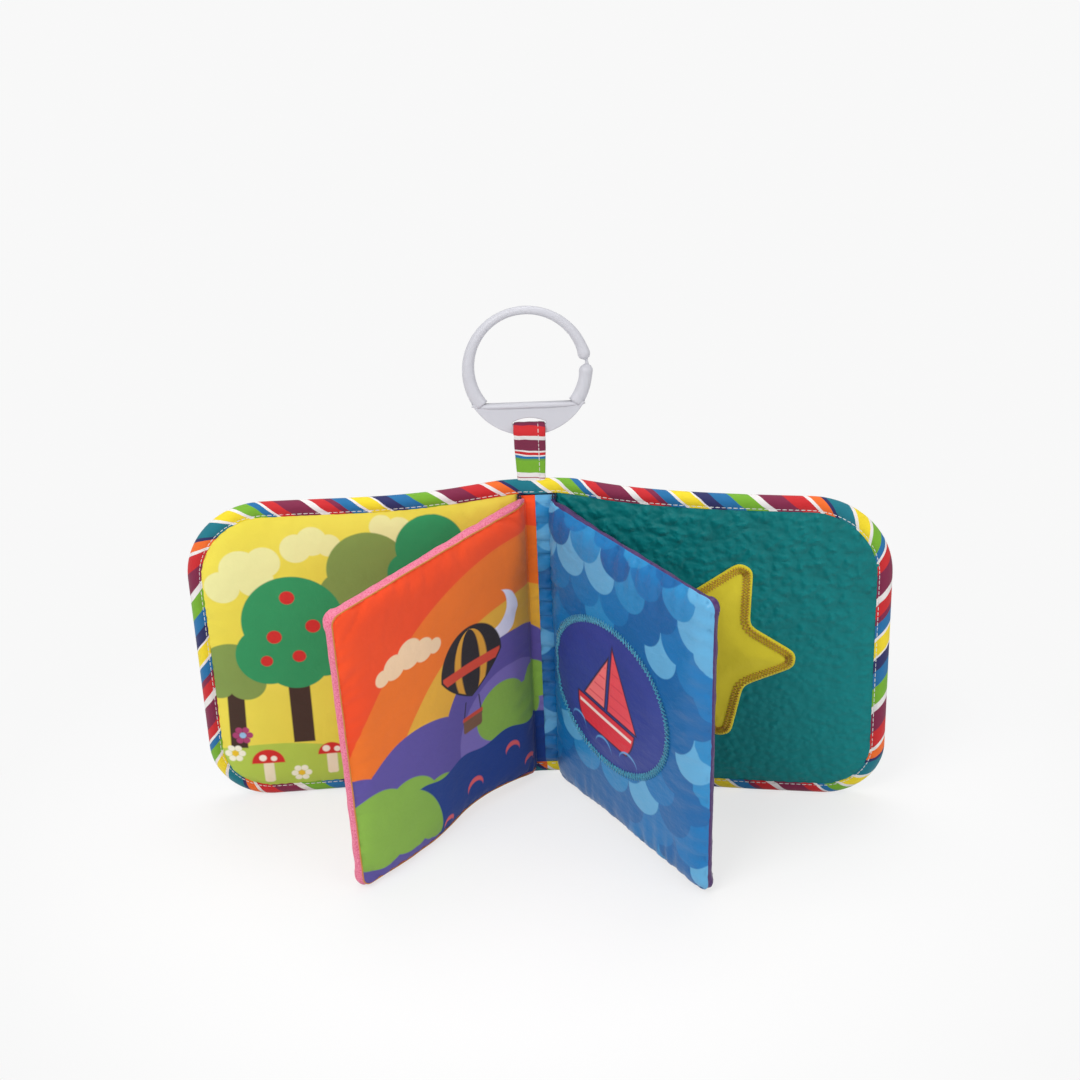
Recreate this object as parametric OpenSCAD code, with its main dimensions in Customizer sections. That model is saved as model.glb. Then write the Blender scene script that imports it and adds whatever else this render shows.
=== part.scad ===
// Soft activity book: two padded covers and two padded leaves sewn to a spine,
// with a striped binding tape, a strap loop and a plastic carrying ring.
// Millimetres. X is to the right, Y goes away from the reader, Z is up.
// The book stands open on its lower edges, with the middle of the spine at X = 0.

/* [Covers] */
// Height of the covers and of the spine
cover_h = 157; // [150:1:190]
// Width of a cover from its fold line to its outer edge
cover_w = 152; // [135:1:180]
// Thickness of a padded cover
cover_t = 8; // [6:0.5:10]
// Radius of a cover's two outer corners
cover_corner = 32; // [18:1:36]
// Thickness of a cover's or a leaf's cloth
cloth_t = 0.8; // [0.5:0.1:1.2]

/* [Binding tape] */
// Width of the tape on each face
tape_w = 6.5; // [6:0.5:11]
// Thickness of the taped edge
tape_t = 6; // [5:0.5:8]
// Rounding of the taped edge
tape_round = 1.8; // [0.8:0.1:2.2]
// Distance from one stripe to the next along the tape
stripe_pitch = 11; // [9:0.1:14]
// White gap between two stripes along the tape
stripe_gap = 2.6; // [2:0.1:5]
// Slant of the stripes away from square across the tape
stripe_slant = 50; // [0:1:55]

/* [Spine] */
// Distance between the two fold lines of the covers
spine_w = 18; // [17:0.5:24]
// Thickness of the spine at its middle
spine_t = 4; // [3.5:0.5:5]
// Play left at a fold line between two padded parts
fold_play = 0.5; // [0.4:0.1:0.8]

/* [Leaves] */
// Width of a leaf from its fold line to its free edge
leaf_w = 118.5; // [100:0.5:128]
// Height of a leaf
leaf_h = 148; // [130:1:152]
// Height of a leaf's lower edge above the ground
leaf_lift = 1.5; // [0.5:0.5:4]
// Thickness of a padded leaf
leaf_t = 6; // [4:0.2:6.2]
// Radius of a leaf's two free corners
leaf_corner = 5; // [4:1:16]
// Distance of a leaf's fold line inside the fold line of its cover
leaf_inset = 1; // [1:0.1:1.6]

/* [Open angles] */
// Turn of the left cover toward the reader from flat
left_cover_open = 5; // [0:1:20]
// Turn of the right cover toward the reader from flat
right_cover_open = 13; // [0:1:20]
// Turn of the left leaf toward the reader from flat
left_leaf_open = 46; // [40:1:60]
// Turn of the right leaf toward the reader from flat
right_leaf_open = 56; // [45:1:60]

/* [Strap and ring] */
// Width of the strap
strap_w = 12.6; // [8:0.2:14]
// Thickness of one layer of the strap
strap_t = 1.3; // [1:0.1:1.6]
// Height of the ring's swing axis above the top of the covers
strap_rise = 25.3; // [24:0.1:40]
// Sideways place of the strap from the middle of the spine
strap_x = -2; // [-2:0.5:2]
// Outer radius of the ring
ring_r = 29; // [27:0.5:36]
// Thickness of the ring's round bar
ring_bar = 6; // [5:0.2:7]
// Height of the rim left below the slot
rim_h = 3.6; // [3:0.1:4]
// Thickness of the plate at the foot of the ring
plate_t = 4.4; // [4:0.1:5]
// Height of the plate from the lowest point of the ring
plate_h = 14.4; // [12:0.2:15]
// Space around the strap in its slot
slot_play = 0.6; // [0.4:0.1:1]
// Angle of the ring's small opening above level
ring_gap_at = 7; // [0:1:20]
// Width of the ring's small opening
ring_gap = 1.6; // [1:0.1:4]
// Lean of the ring away from the reader
ring_lean = 14; // [0:1:25]

/* [Sewn-on and printed parts] */
// Thickness of a printed field
print_t = 0.3; // [0.2:0.1:0.4]
// Thickness of a sewn-on patch
patch_t = 0.6; // [0.4:0.1:0.8]
// Width of the zigzag edging of a patch
edging_w = 3; // [2:0.2:4]
// Radius of the star's tips
star_r = 47; // [32:1:48]
// Radius of the printed scales
scale_r = 11; // [8:1:15]
// Half height of the oval patch
oval_r = 36.5; // [28:0.5:38]

/* [Hidden] */
$fn = 48;
root = fold_play;
half_spine = spine_w / 2;
spine_tape_t = spine_t + 1;
spine_flat = half_spine - 5.5;
inner_y = -spine_tape_t / 2;
leaf_fold = half_spine - leaf_inset;
thread_r = 0.3;
seam_gap = 0.3;
leaf_fold_out = thread_r + seam_gap;
leaf_root = thread_r + seam_gap;
recess = 0.4;
bend = cover_corner;
run_l = cover_w - bend - root;
side_l = cover_h - 2 * bend;
arc_l = PI * bend / 2;
tape_l = 2 * run_l + side_l + 2 * arc_l;
stripe_n = floor((tape_l - tape_w * tan(stripe_slant)) / stripe_pitch);
stripe_set = 5;
loop_in = sqrt(pow(plate_t, 2) + pow(rim_h, 2)) / 2 + 0.35;
loop_out = loop_in + strap_t;
rim_mid = ring_r - rim_h / 2;
slot_top = rim_mid - loop_out - slot_play;
axis_z = cover_h + strap_rise;
axis_y = 0;
star_u = 64.5;
star_z = cover_h * 0.5;
star_turn = -23;
oval_u = leaf_w * 0.43;
oval_z = leaf_h * 0.475;
oval_wide = 1.18;
ink = print_t;
trunk_w = 10;
hull_r = oval_r * 0.62;

red = [0.80, 0.12, 0.12];
plum = [0.45, 0.10, 0.25];
navy = [0.16, 0.18, 0.45];
blue = [0.10, 0.45, 0.70];
green = [0.45, 0.68, 0.15];
white = [0.95, 0.95, 0.93];

// Turns a panel drawn flat (width, height, depth) so that it stands up,
// with its depth going away from the reader.
module stand_away() { mirror([0, 1, 0]) rotate([90, 0, 0]) children(); }

// The same, with its depth coming toward the reader.
module stand_toward() { rotate([90, 0, 0]) children(); }

module on_back() {
  translate([half_spine, inner_y, 0]) rotate([0, 0, -right_cover_open]) stand_away() children();
}

module on_front() {
  mirror([1, 0, 0])
    translate([half_spine, inner_y, 0]) rotate([0, 0, -left_cover_open]) stand_away() children();
}

module on_right_leaf() {
  translate([leaf_fold, inner_y - leaf_fold_out, leaf_lift]) rotate([0, 0, -right_leaf_open])
    stand_toward() children();
}

module on_left_leaf() {
  mirror([1, 0, 0])
    translate([leaf_fold, inner_y - leaf_fold_out, leaf_lift]) rotate([0, 0, -left_leaf_open])
      stand_toward() children();
}

// A panel outline from its root to its free edge, drawn in by "inset" on three sides.
module panel(w, h, corner, inset, start) {
  r = corner - inset;
  difference() {
    union() {
      translate([start, inset]) square([w - corner - start, h - 2 * inset]);
      translate([start, corner]) square([w - inset - start, h - 2 * corner]);
      translate([w - corner, corner]) circle(r);
      translate([w - corner, h - corner]) circle(r);
    }
    translate([start - 2 * corner, 0]) square([2 * corner, h]);
  }
}

module cover_outline(inset) { panel(cover_w, cover_h, cover_corner, inset, root); }

module leaf_outline(inset) { panel(leaf_w, leaf_h, leaf_corner, inset, leaf_root); }

// Thickness across a padded panel: thin at the start and at the end, full between.
function swell(a, b, t, e0, r0, e1, r1) = [
  [a, e0], [a + 0.35 * r0, e0 + 0.55 * (t - e0)], [a + 0.7 * r0, e0 + 0.88 * (t - e0)],
  [a + r0, t], [b - r1, t], [b - 0.7 * r1, e1 + 0.88 * (t - e1)],
  [b - 0.35 * r1, e1 + 0.55 * (t - e1)], [b, e1]
];

// Solid under a swell in the width and another in the height.
module pillow(a, b, h0, h1, t, e0, r0, e1, r1) {
  intersection() {
    translate([0, h1, 0]) rotate([90, 0, 0]) linear_extrude(h1 - h0)
      polygon(concat([[a, 0]], swell(a, b, t, e0, r0, e1, r1), [[b, 0]]));
    translate([a, 0, 0]) rotate([90, 0, 90]) linear_extrude(b - a)
      polygon(concat([[h0, 0]], swell(h0, h1, t, e1, r1, e1, r1), [[h1, 0]]));
  }
}

module cover_pillow(less) {
  pillow(root, cover_w - tape_w, tape_w, cover_h - tape_w, cover_t - less,
    1.3 - less / 4, 16, tape_t - 0.6 - less, 16);
}

module cover_outer_cloth() {
  difference() {
    intersection() {
      cover_pillow(0);
      translate([0, 0, recess + cloth_t]) linear_extrude(cover_t) cover_outline(tape_w);
    }
    cover_pillow(cloth_t);
    fold_wedge();
  }
}

module cover_wadding() {
  difference() {
    intersection() {
      cover_pillow(cloth_t);
      translate([0, 0, recess + cloth_t]) linear_extrude(cover_t) cover_outline(tape_w);
    }
    fold_wedge();
  }
}

module cover_inner_cloth() {
  difference() {
    translate([0, 0, recess]) linear_extrude(cloth_t) cover_outline(tape_w);
    fold_wedge();
  }
}

// Room for the fold to turn outward: nothing stands above this slope.
module fold_wedge() {
  translate([0, cover_h + 1, 0]) rotate([90, 0, 0]) linear_extrude(cover_h + 2)
    polygon([[-1, -1.2], [-1, 20], [20.2, 20]]);
}

module tape_section() {
  r = tape_round;
  translate([r, 0]) square([tape_w - r, tape_t]);
  translate([0, r]) square([r, tape_t - 2 * r]);
  translate([r, r]) circle(r);
  translate([r, tape_t - r]) circle(r);
}

module tape_run(l) { rotate([90, 0, 90]) linear_extrude(l) tape_section(); }

module tape_bend() {
  rotate_extrude(angle = 90) translate([bend, 0]) mirror([1, 0]) tape_section();
}

module cover_tape() {
  difference() {
    union() {
      translate([root, 0, 0]) tape_run(run_l);
      translate([root, cover_h, 0]) mirror([0, 1, 0]) tape_run(run_l);
      translate([cover_w, bend, 0]) rotate([0, 0, 90]) tape_run(side_l);
      translate([cover_w - bend, bend, 0]) rotate([0, 0, -90]) tape_bend();
      translate([cover_w - bend, cover_h - bend, 0]) tape_bend();
    }
    fold_wedge();
  }
}

// Point of the taped edge at length s along it and distance w inside it.
function tape_point(s, w) =
  s < run_l ? [root + s, w] :
  s < run_l + arc_l ? let (g = (s - run_l) / bend * 180 / PI)
    [cover_w - bend + (bend - w) * sin(g), bend - (bend - w) * cos(g)] :
  s < run_l + arc_l + side_l ? [cover_w - w, bend + s - run_l - arc_l] :
  s < run_l + 2 * arc_l + side_l ? let (g = (s - run_l - arc_l - side_l) / bend * 180 / PI)
    [cover_w - bend + (bend - w) * cos(g), cover_h - bend + (bend - w) * sin(g)] :
  [cover_w - bend - (s - run_l - 2 * arc_l - side_l), cover_h - w];

module cover_stripe_field(k) {
  w0 = tape_round;
  w1 = tape_w - 0.3;
  lean = tan(stripe_slant);
  long = stripe_pitch - stripe_gap;
  intersection() {
    translate([root + tape_t + 0.5, 0]) square([cover_w, cover_h]);
    union() {
      for (i = [k : stripe_set : stripe_n - 1]) {
        s0 = (i + 0.2) * stripe_pitch;
        polygon(concat(
          [for (j = [0 : 4]) tape_point(s0 + w0 * lean + long * j / 4, w0)],
          [for (j = [4 : -1 : 0]) tape_point(s0 + w1 * lean + long * j / 4, w1)]
        ));
      }
    }
  }
}

module cover_stripes(k) {
  translate([0, 0, -ink]) linear_extrude(ink) cover_stripe_field(k);
  translate([0, 0, tape_t]) linear_extrude(ink) cover_stripe_field(k);
}

// A printed field on the inside cloth of a cover.
module cover_print() {
  translate([0, 0, recess - ink]) linear_extrude(ink) intersection() {
    cover_outline(tape_w + 0.5);
    translate([root + 2, 0]) square([cover_w, cover_h]);
    children();
  }
}

// Covers

module front_outer_cloth() { color([0.30, 0.62, 0.78]) on_front() cover_outer_cloth(); }
module front_wadding() { color([0.92, 0.92, 0.90]) on_front() cover_wadding(); }
module front_inner_cloth() { color([0.93, 0.89, 0.42]) on_front() cover_inner_cloth(); }

module front_print_ground() {
  color([0.62, 0.78, 0.25]) on_front() cover_print() {
    difference() {
      union() {
        translate([0, -60]) square([cover_w, 60 + cover_h * 0.20]);
        translate([cover_w * 0.30, cover_h * -0.30]) circle(cover_h * 0.56);
      }
      translate([cover_w * 0.78, cover_h * 0.62]) circle(cover_h * 0.44);
    }
  }
}

module front_print_crowns() {
  color([0.20, 0.58, 0.30]) on_front() cover_print() union() {
    for (t = [[0.70, 0.60, 0.165], [0.27, 0.84, 0.10]])
      translate([cover_w * t[0], cover_h * t[1]]) circle(cover_h * t[2]);
  }
}

module front_print_olives() {
  color([0.50, 0.58, 0.25]) on_front() cover_print() difference() {
    union() {
      for (t = [[0.46, 0.78, 0.12], [0.90, 0.47, 0.085]])
        translate([cover_w * t[0], cover_h * t[1]]) circle(cover_h * t[2]);
    }
    for (t = [[0.70, 0.60, 0.165], [0.27, 0.84, 0.10]])
      translate([cover_w * t[0], cover_h * t[1]]) circle(cover_h * t[2]);
  }
}

module front_print_trunks() {
  color([0.25, 0.15, 0.10]) on_front() cover_print() difference() {
    union() {
      translate([cover_w * 0.70 - trunk_w / 2, cover_h * 0.23]) square([trunk_w, cover_h * 0.24]);
      translate([cover_w * 0.90 - trunk_w * 0.4, cover_h * 0.20])
        square([trunk_w * 0.8, cover_h * 0.20]);
      translate([cover_w * 0.46 - trunk_w * 0.4, cover_h * 0.25])
        square([trunk_w * 0.8, cover_h * 0.43]);
    }
    translate([cover_w * 0.46, cover_h * 0.78]) circle(cover_h * 0.12);
    translate([cover_w * 0.70, cover_h * 0.60]) circle(cover_h * 0.165);
    translate([cover_w * 0.90, cover_h * 0.47]) circle(cover_h * 0.085);
    translate([cover_w * 0.30, cover_h * -0.30]) circle(cover_h * 0.56);
  }
}

module front_print_clouds() {
  color([0.97, 0.95, 0.68]) on_front() cover_print() difference() {
    union() {
      for (t = [[0.84, 0.80, 0.06], [0.77, 0.82, 0.05], [0.89, 0.74, 0.05], [0.62, 0.87, 0.045],
                [0.67, 0.85, 0.04]])
        translate([cover_w * t[0], cover_h * t[1]]) circle(cover_h * t[2]);
    }
    translate([cover_w * 0.70, cover_h * 0.60]) circle(cover_h * 0.165);
    translate([cover_w * 0.46, cover_h * 0.78]) circle(cover_h * 0.12);
  }
}

module front_print_toadstools() {
  color([0.85, 0.20, 0.15]) on_front()
    translate([0, 0, -ink]) cover_print() union() {
      for (t = [[0.82, 0.12, 0.05], [0.62, 0.14, 0.041], [0.42, 0.12, 0.047]])
        translate([cover_w * t[0], cover_h * t[1]]) difference() {
          circle(cover_h * t[2]);
          translate([-cover_h * t[2], -2 * cover_h * t[2]]) square(2 * cover_h * t[2]);
        }
    }
}

module front_tape() { color(white) on_front() cover_tape(); }
module front_stripes_red() { color(red) on_front() cover_stripes(0); }
module front_stripes_plum() { color(plum) on_front() cover_stripes(1); }
module front_stripes_green() { color(green) on_front() cover_stripes(2); }
module front_stripes_navy() { color(navy) on_front() cover_stripes(3); }
module front_stripes_blue() { color(blue) on_front() cover_stripes(4); }

module back_outer_cloth() { color([0.30, 0.62, 0.78]) on_back() cover_outer_cloth(); }
module back_wadding() { color([0.92, 0.92, 0.90]) on_back() cover_wadding(); }
module back_inner_cloth() { color([0.02, 0.50, 0.48]) on_back() cover_inner_cloth(); }
module back_tape() { color(white) on_back() cover_tape(); }
module back_stripes_red() { color(red) on_back() cover_stripes(0); }
module back_stripes_plum() { color(plum) on_back() cover_stripes(1); }
module back_stripes_green() { color(green) on_back() cover_stripes(2); }
module back_stripes_navy() { color(navy) on_back() cover_stripes(3); }
module back_stripes_blue() { color(blue) on_back() cover_stripes(4); }

// Star with rounded tips and rounded valleys, turned a little.
module star_shape(less) {
  tip = 6;
  core = star_r * 0.54;
  rotate(star_turn) union() {
    circle(core - less);
    for (i = [0 : 4]) rotate(90 + 72 * i) {
      translate([star_r - tip, 0]) circle(tip - less);
      polygon([
        [(core - less) * cos(44), -(core - less) * sin(44)],
        [star_r - tip, -(tip - less)],
        [star_r - tip, tip - less],
        [(core - less) * cos(44), (core - less) * sin(44)]
      ]);
    }
  }
}

module star_patch() {
  color([0.93, 0.85, 0.22]) on_back() translate([star_u, star_z, recess - patch_t])
    linear_extrude(patch_t) star_shape(0);
}

module star_edging() {
  color([0.72, 0.52, 0.10]) on_back() translate([star_u, star_z, recess - patch_t - ink])
    linear_extrude(ink) difference() {
      star_shape(1);
      star_shape(1 + edging_w);
    }
}

// Spine

function spine_side(t) = [
  [-(half_spine - root), 0.3], [-(half_spine - 3), min(2.8, t - 0.6)], [-spine_flat, t],
  [spine_flat, t], [half_spine - 3, min(2.8, t - 0.6)], [half_spine - root, 0.3]
];

module spine_block(t, z0, z1) {
  translate([0, inner_y, z0]) linear_extrude(z1 - z0)
    polygon(concat([[-(half_spine - root), 0]], spine_side(t), [[half_spine - root, 0]]));
}

module spine_band(y0, y1) {
  translate([-half_spine, inner_y + y0, 0]) cube([spine_w, y1 - y0, cover_h]);
}

module spine_outer_cloth() {
  color([0.30, 0.62, 0.78]) difference() {
    spine_block(spine_t, tape_w, cover_h - tape_w);
    spine_block(spine_t - cloth_t, 0, cover_h);
  }
}

module spine_wadding() {
  color([0.92, 0.92, 0.90]) difference() {
    spine_block(spine_t - cloth_t, tape_w, cover_h - tape_w);
    spine_band(-1, cloth_t);
  }
}

module spine_inner_cloth() {
  color([0.93, 0.89, 0.42]) intersection() {
    spine_block(spine_t - cloth_t, tape_w, cover_h - tape_w);
    spine_band(-1, cloth_t);
  }
}

module spine_tape() {
  color(white) union() {
    spine_block(spine_tape_t, 0, tape_w);
    spine_block(spine_tape_t, cover_h - tape_w, cover_h);
  }
}

// A stripe on the two faces of the spine's tape, to the left or right of the middle.
module spine_stripe(side) {
  inside_w = half_spine - root - 1;
  for (z = [tape_round, cover_h - tape_w])
    translate([side > 0 ? 0.5 : -inside_w, inner_y - ink, z])
      cube([inside_w - 0.5, ink, tape_w - tape_round]);
  for (z = [tape_round, cover_h - tape_w])
    translate([side > 0 ? 0.5 : -spine_flat, -inner_y, z])
      cube([spine_flat - 0.5, ink, tape_w - tape_round]);
}

module spine_stripes_red() { color(red) spine_stripe(-1); }
module spine_stripes_green() { color(green) spine_stripe(1); }

module gutter_cloth() {
  gutter_t = leaf_fold_out - 0.1;
  low = max(leaf_lift + 1, tape_w + 0.3);
  top = min(leaf_lift + leaf_h - 1, cover_h - tape_w);
  translate([0.1, inner_y - gutter_t, low])
    cube([leaf_fold - thread_r - seam_gap - 0.1, gutter_t, top - low]);
}

module gutter_left_cloth() {
  color([0.88, 0.35, 0.12]) mirror([1, 0, 0]) gutter_cloth();
}

module gutter_right_cloth() {
  color([0.10, 0.42, 0.72]) gutter_cloth();
}

module seam() {
  translate([leaf_fold, inner_y - leaf_fold_out, leaf_lift + 2])
    cylinder(r = thread_r, h = leaf_h - 4);
}

module left_seam() { color([0.20, 0.15, 0.20]) mirror([1, 0, 0]) seam(); }
module right_seam() { color([0.15, 0.20, 0.45]) seam(); }

// Leaves

module leaf_pillow(more) {
  pillow(leaf_root, leaf_w, 0, leaf_h, leaf_t + more, 1.2 + more, 10, 3 + more, 6);
}

module leaf_back() { linear_extrude(cloth_t) leaf_outline(0); }

module leaf_wadding() {
  intersection() {
    leaf_pillow(-cloth_t);
    translate([0, 0, cloth_t]) linear_extrude(leaf_t) leaf_outline(cloth_t);
  }
}

module leaf_face() {
  difference() {
    intersection() {
      leaf_pillow(0);
      translate([0, 0, cloth_t]) linear_extrude(leaf_t) leaf_outline(0);
    }
    leaf_wadding();
  }
}

// A printed field that lies on the swelling face of a leaf.
module leaf_print(lift = 0) {
  difference() {
    intersection() {
      leaf_pillow(lift + ink);
      translate([0, 0, cloth_t + 1]) linear_extrude(leaf_t + 1) intersection() {
        leaf_outline(0.5);
        children();
      }
    }
    leaf_pillow(lift);
  }
}

module left_leaf_back() { color([0.93, 0.45, 0.58]) on_left_leaf() leaf_back(); }
module left_leaf_wadding() { color([0.92, 0.92, 0.90]) on_left_leaf() leaf_wadding(); }
module left_leaf_face() { color([0.90, 0.28, 0.10]) on_left_leaf() leaf_face(); }

// Bands of sky are rings around a point low beside the fold.
module sky(r) { translate([leaf_w * 0.10, leaf_h * 0.12]) circle(r); }

module hills_shape() {
  translate([leaf_w * 0.16, leaf_h * 0.30]) circle(leaf_h * 0.30);
  translate([leaf_w * 0.66, leaf_h * 0.16]) circle(leaf_h * 0.30);
}

module bushes_shape() {
  for (t = [[0.90, 0.18, 0.14], [0.74, 0.17, 0.13], [0.58, 0.13, 0.11], [0.20, 0.32, 0.11],
            [0.08, 0.28, 0.10]])
    translate([leaf_w * t[0], leaf_h * t[1]]) circle(leaf_h * t[2]);
}

module water_shape() {
  difference() {
    square([leaf_w, leaf_h * 0.24]);
    translate([leaf_w * 0.84, leaf_h * 0.06]) circle(leaf_h * 0.22);
  }
}

module left_print_orange() {
  color([0.95, 0.47, 0.12]) on_left_leaf() leaf_print() difference() {
    sky(leaf_h * 0.80);
    sky(leaf_h * 0.60);
    hills_shape();
  }
}

module left_print_amber() {
  color([0.97, 0.72, 0.22]) on_left_leaf() leaf_print() difference() {
    sky(leaf_h * 0.60);
    hills_shape();
    bushes_shape();
    water_shape();
  }
}

module left_print_hills() {
  color([0.30, 0.22, 0.58]) on_left_leaf() leaf_print() difference() {
    hills_shape();
    bushes_shape();
    water_shape();
  }
}

module left_print_bushes() {
  color([0.48, 0.72, 0.22]) on_left_leaf() leaf_print() difference() {
    bushes_shape();
    water_shape();
  }
}

module left_print_water() {
  color([0.10, 0.15, 0.45]) on_left_leaf() leaf_print() water_shape();
}

module left_print_cloud() {
  color([0.98, 0.85, 0.72]) on_left_leaf() translate([0, 0, leaf_t + ink]) linear_extrude(ink) union() {
    for (t = [[0.60, 0.72, 0.045], [0.67, 0.73, 0.055], [0.75, 0.71, 0.045]])
      translate([leaf_w * t[0], leaf_h * t[1]]) circle(leaf_h * t[2]);
  }
}

module left_print_balloon() {
  color([0.15, 0.12, 0.14]) on_left_leaf() translate([0, 0, leaf_t + ink]) linear_extrude(ink) union() {
    translate([leaf_w * 0.36, leaf_h * 0.56]) circle(leaf_h * 0.13);
    translate([leaf_w * 0.36 - 6, leaf_h * 0.37]) square([12, leaf_h * 0.05]);
    translate([leaf_w * 0.36, leaf_h * 0.42]) polygon([[-6, 0], [-leaf_h * 0.10, leaf_h * 0.08],
      [leaf_h * 0.10, leaf_h * 0.08], [6, 0]]);
  }
}

module right_leaf_back() { color([0.35, 0.22, 0.50]) on_right_leaf() leaf_back(); }
module right_leaf_wadding() { color([0.92, 0.92, 0.90]) on_right_leaf() leaf_wadding(); }
module right_leaf_face() { color([0.10, 0.38, 0.70]) on_right_leaf() leaf_face(); }

// Overlapping scales that point down; every third one is pale.
module right_print_scales() {
  color([0.35, 0.68, 0.88]) on_right_leaf() translate([0, 0, leaf_t]) linear_extrude(ink)
    difference() {
      intersection() {
        translate([leaf_root + 9, 7]) square([leaf_w - leaf_root - 16, leaf_h - 14]);
        union() {
          for (j = [0 : ceil(leaf_h / scale_r)], i = [0 : ceil(leaf_w / scale_r / 2)])
            if ((i + 2 * j) % 3 == 0)
              translate([(2 * i + j % 2) * scale_r, j * scale_r]) difference() {
                circle(scale_r - 0.3);
                translate([-scale_r, scale_r]) circle(scale_r);
                translate([scale_r, scale_r]) circle(scale_r);
              }
        }
      }
      translate([oval_u, oval_z]) oval_shape(-1);
    }
}

module oval_shape(less) {
  a = oval_r * oval_wide - less;
  b = oval_r - less;
  polygon([for (i = [0 : 47]) [a * cos(i * 7.5), b * sin(i * 7.5)]]);
}

module oval_patch() {
  color([0.08, 0.25, 0.62]) on_right_leaf() translate([oval_u, oval_z, leaf_t])
    linear_extrude(patch_t) oval_shape(0);
}

module oval_edging() {
  color([0.10, 0.60, 0.72]) on_right_leaf() translate([oval_u, oval_z, leaf_t + patch_t])
    linear_extrude(ink) difference() {
      oval_shape(0);
      oval_shape(edging_w);
    }
}

module boat_hull() {
  color([0.88, 0.28, 0.30]) on_right_leaf() translate([oval_u, oval_z, leaf_t + patch_t])
    linear_extrude(ink) translate([0, -oval_r * 0.26]) difference() {
      circle(hull_r);
      translate([-hull_r, 0]) square(2 * hull_r);
      translate([-hull_r, -2.6 * hull_r]) square(2 * hull_r);
    }
}

module boat_sails() {
  color([0.90, 0.42, 0.46]) on_right_leaf() translate([oval_u, oval_z, leaf_t + patch_t])
    linear_extrude(ink) union() {
      polygon(oval_r * [[0.04, -0.21], [0.04, 0.76], [0.65, -0.21]]);
      polygon(oval_r * [[-0.04, -0.18], [-0.04, 0.59], [-0.47, -0.18]]);
    }
}

// Strap: two layers sewn to the head of the spine, closed in a loop around the ring's rim.

// Side view of the strap around the swing axis, grown by "more".
module strap_side(more) {
  neck = 2.2 * loop_out;
  circle(loop_out + more);
  polygon([[-loop_out - more, 0], [loop_out + more, 0], [strap_t + 0.1 + more, -neck],
    [-strap_t - 0.1 - more, -neck]]);
  translate([-strap_t - 0.1 - more, -strap_rise])
    square([2 * (strap_t + 0.1 + more), strap_rise - neck + 0.5]);
}

module strap_eye() {
  circle(loop_in);
  polygon([[-loop_in, 0], [loop_in, 0], [0.1, -1.9 * loop_out], [-0.1, -1.9 * loop_out]]);
}

module strap_across() {
  translate([strap_x - strap_w / 2, axis_y, axis_z]) rotate([90, 0, 90])
    linear_extrude(strap_w) children();
}

module strap() {
  color(white) strap_across() difference() {
    strap_side(0);
    strap_eye();
  }
}

// A stripe that lies on both faces of the strap, between two shares of its height.
module strap_stripe(f0, f1) {
  strap_across() intersection() {
    difference() {
      strap_side(ink);
      strap_side(0);
    }
    translate([-2 * loop_out, (f0 - 1) * strap_rise])
      square([4 * loop_out, (f1 - f0) * strap_rise]);
  }
}

module strap_stripes_red() {
  color(red) union() {
    strap_stripe(0.40, 0.52);
    strap_stripe(0.86, 0.98);
  }
}

module strap_stripes_plum() { color(plum) strap_stripe(0.58, 0.80); }

module strap_stripes_green() {
  color(green) union() {
    strap_stripe(0.04, 0.16);
    strap_stripe(0.20, 0.34);
  }
}

// Ring, drawn flat around its own centre and stood up on its swing axis.

module ring_flat() {
  bar = ring_bar / 2;
  mid = ring_r - bar;
  open = 2 * asin((ring_gap / 2 + 2) / mid);
  union() {
    rotate(ring_gap_at + open / 2) rotate_extrude(angle = 360 - open)
      translate([mid, 0]) circle(bar);
    for (s = [-1, 1])
      rotate(ring_gap_at + s * open / 2) translate([mid, 0, 0]) sphere(bar * 0.66);
    difference() {
      translate([0, 0, -plate_t / 2]) cylinder(r = ring_r, h = plate_t);
      translate([-2 * ring_r, plate_h - ring_r, -plate_t]) cube([4 * ring_r, 4 * ring_r, 2 * plate_t]);
    }
    translate([-mid * 0.86, plate_h - ring_r - 1.6, -plate_t / 2 - 0.8])
      cube([mid * 1.72, 1.6, plate_t + 1.6]);
  }
}

module link_ring() {
  slot_w = strap_w + 2 * slot_play;
  color([0.95, 0.95, 0.96]) translate([strap_x, axis_y, axis_z]) rotate([-ring_lean, 0, 0])
    rotate([90, 0, 0]) translate([0, rim_mid, 0]) difference() {
      ring_flat();
      translate([-slot_w / 2, -rim_mid + rim_h / 2, -ring_bar])
        cube([slot_w, rim_mid - slot_top - rim_h / 2, 2 * ring_bar]);
      for (z = [-2 * ring_bar, plate_t / 2])
        translate([-slot_w / 2, -2 * ring_r, z]) cube([slot_w, 2 * ring_r - slot_top, 2 * ring_bar - (z < 0 ? plate_t / 2 : 0)]);
      translate([-slot_w / 2, -ring_r - 5, -ring_bar]) cube([slot_w, 5 + ring_r - rim_mid - rim_h / 2, 2 * ring_bar]);
    }
}

front_outer_cloth();
front_wadding();
front_inner_cloth();
front_print_ground();
front_print_crowns();
front_print_olives();
front_print_trunks();
front_print_clouds();
front_print_toadstools();
front_tape();
front_stripes_red();
front_stripes_plum();
front_stripes_navy();
front_stripes_blue();
front_stripes_green();
back_outer_cloth();
back_wadding();
back_inner_cloth();
star_patch();
star_edging();
back_tape();
back_stripes_red();
back_stripes_plum();
back_stripes_navy();
back_stripes_blue();
back_stripes_green();
spine_outer_cloth();
spine_wadding();
spine_inner_cloth();
spine_tape();
spine_stripes_red();
spine_stripes_green();
gutter_left_cloth();
gutter_right_cloth();
left_seam();
right_seam();
strap();
strap_stripes_red();
strap_stripes_plum();
strap_stripes_green();
left_leaf_back();
left_leaf_wadding();
left_leaf_face();
left_print_orange();
left_print_amber();
left_print_hills();
left_print_bushes();
left_print_water();
left_print_cloud();
left_print_balloon();
right_leaf_back();
right_leaf_wadding();
right_leaf_face();
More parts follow.
